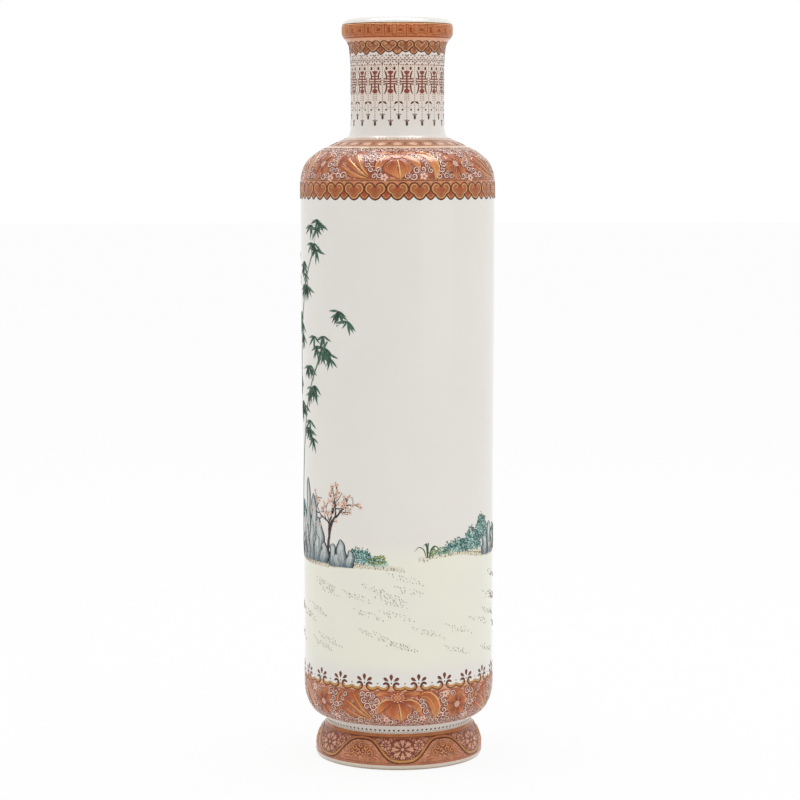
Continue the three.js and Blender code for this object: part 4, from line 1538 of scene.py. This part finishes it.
FLOOR_SIZE = 8.0
ROOM_LIGHT = 0.88  # how bright the white room is as a light
LAMP_AIM = Vector((0, 0, 0.16))
CAMERA_AT = (0.0008, -1.072, 0.2473)
CAMERA_PITCH, CAMERA_ROLL = math.radians(5.4), math.radians(0.12)
LENS, SENSOR = 118.8, 36.0


def backdrop_material():
    """A white floor that shows white to the camera and still takes a faint shadow."""
    finish = Finish("studio_white", {"Base Color": (0.9, 0.9, 0.9, 1), "Roughness": 0.9,
                                     "Specular IOR Level": 0.0})
    glow = finish.node("ShaderNodeEmission", inputs={"Color": (1.0, 1.0, 1.0), "Strength": 1.0})
    both = finish.node("ShaderNodeMixShader",
                       inputs={0: finish.seen() * 0.9, 1: Wire(finish, finish.shader.outputs[0]), 2: glow})
    finish.tree.links.new(both.socket, finish.tree.nodes["Material Output"].inputs["Surface"])
    return finish.material


def white_world():
    """A white room: plain white where it shows, and a plain light level on the vase."""
    world = bpy.data.worlds.new("white_room")
    bpy.context.scene.world = world
    world.use_nodes = True
    room = Nodes(world.node_tree)
    background = world.node_tree.nodes["Background"]
    background.inputs["Color"].default_value = (1, 1, 1, 1)
    strength = room.seen() * (1 - ROOM_LIGHT) + ROOM_LIGHT
    room.tree.links.new(strength.socket, background.inputs["Strength"])


def lamp(name, place, size, watts, only_gloss=False):
    """A softbox that faces the vase. One that is only for gloss is seen in the glaze and lights nothing."""
    data = bpy.data.lights.new(name, "AREA")
    data.shape = "RECTANGLE"
    (data.size, data.size_y), data.energy = size, watts
    box = bpy.data.objects.new(name, data)
    box.location = place
    box.visible_diffuse = not only_gloss
    box.rotation_euler = (LAMP_AIM - Vector(place)).to_track_quat("-Z", "Y").to_euler()
    bpy.context.scene.collection.objects.link(box)


def set_camera():
    """The photograph's view: from the front, a little above the middle and a little downwards."""
    level = Matrix.Rotation(math.pi / 2 - CAMERA_PITCH, 4, "X")
    data = bpy.data.cameras.new("camera")
    data.lens, data.sensor_width = LENS, SENSOR
    camera = bpy.data.objects.new("camera", data)
    camera.matrix_world = Matrix.Translation(CAMERA_AT) @ level @ Matrix.Rotation(-CAMERA_ROLL, 4, "Z")
    bpy.context.scene.collection.objects.link(camera)
    bpy.context.scene.camera = camera


class VASE_OT_stage(bpy.types.Operator):
    """Set the floor, the lights and the camera"""

    bl_idname = "vase.stage"
    bl_label = "Stage"

    def execute(self, context):
        mesh = bpy.data.meshes.new("studio_floor")
        corners = [(x * FLOOR_SIZE, y * FLOOR_SIZE, 0) for x, y in ((-1, -1), (1, -1), (1, 1), (-1, 1))]
        mesh.from_pydata(corners, [], [(0, 1, 2, 3)])
        mesh.materials.append(backdrop_material())
        floor = bpy.data.objects.new("studio_floor", mesh)
        context.scene.collection.objects.link(floor)
        floor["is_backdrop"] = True
        white_world()
        lamp("side_softbox", (1.3, -1.2, 0.6), (1.4, 1.4), 2.2)
        lamp("top_softbox", (0.0, 0.1, 1.2), (1.2, 0.5), 3.0)
        lamp("gloss_softbox", (0.02, 0.1, 1.19), (0.9, 0.46), 16.0, only_gloss=True)
        set_camera()
        context.scene.view_settings.view_transform = "Standard"
        return {"FINISHED"}


STEPS = [VASE_OT_sections, VASE_OT_rim, VASE_OT_neck, VASE_OT_shoulder, VASE_OT_cloud_border,
         VASE_OT_palmettes, VASE_OT_underside, VASE_OT_foot, VASE_OT_garden, VASE_OT_stage]


class VASE_PT_panel(bpy.types.Panel):
    """The vase's steps and settings"""

    bl_idname = "VASE_PT_panel"
    bl_label = "Vase"
    bl_space_type = "VIEW_3D"
    bl_region_type = "UI"
    bl_category = "Vase"

    def draw(self, context):
        for step in STEPS:
            self.layout.operator(step.bl_idname)
        for group in (context.scene.vase_form, context.scene.vase_colours):
            for key in setting_names(group):
                self.layout.prop(group, key)


CLASSES = [VaseForm, VaseColours, *STEPS, VASE_PT_panel]


def register():
    for each in CLASSES:
        bpy.utils.register_class(each)
    bpy.types.Scene.vase_form = PointerProperty(type=VaseForm)
    bpy.types.Scene.vase_colours = PointerProperty(type=VaseColours)


def unregister():
    del bpy.types.Scene.vase_colours, bpy.types.Scene.vase_form
    for each in reversed(CLASSES):
        bpy.utils.unregister_class(each)


def corners(bounds):
    return [list(corner) for corner in bounds]


def main():
    cad_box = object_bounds()
    register()
    for step in STEPS:
        group, action = step.bl_idname.split(".")
        getattr(getattr(bpy.ops, group), action)()
    {"cad": corners(cad_box), "visual": corners(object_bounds())}


if __name__ == "__main__":
    main()
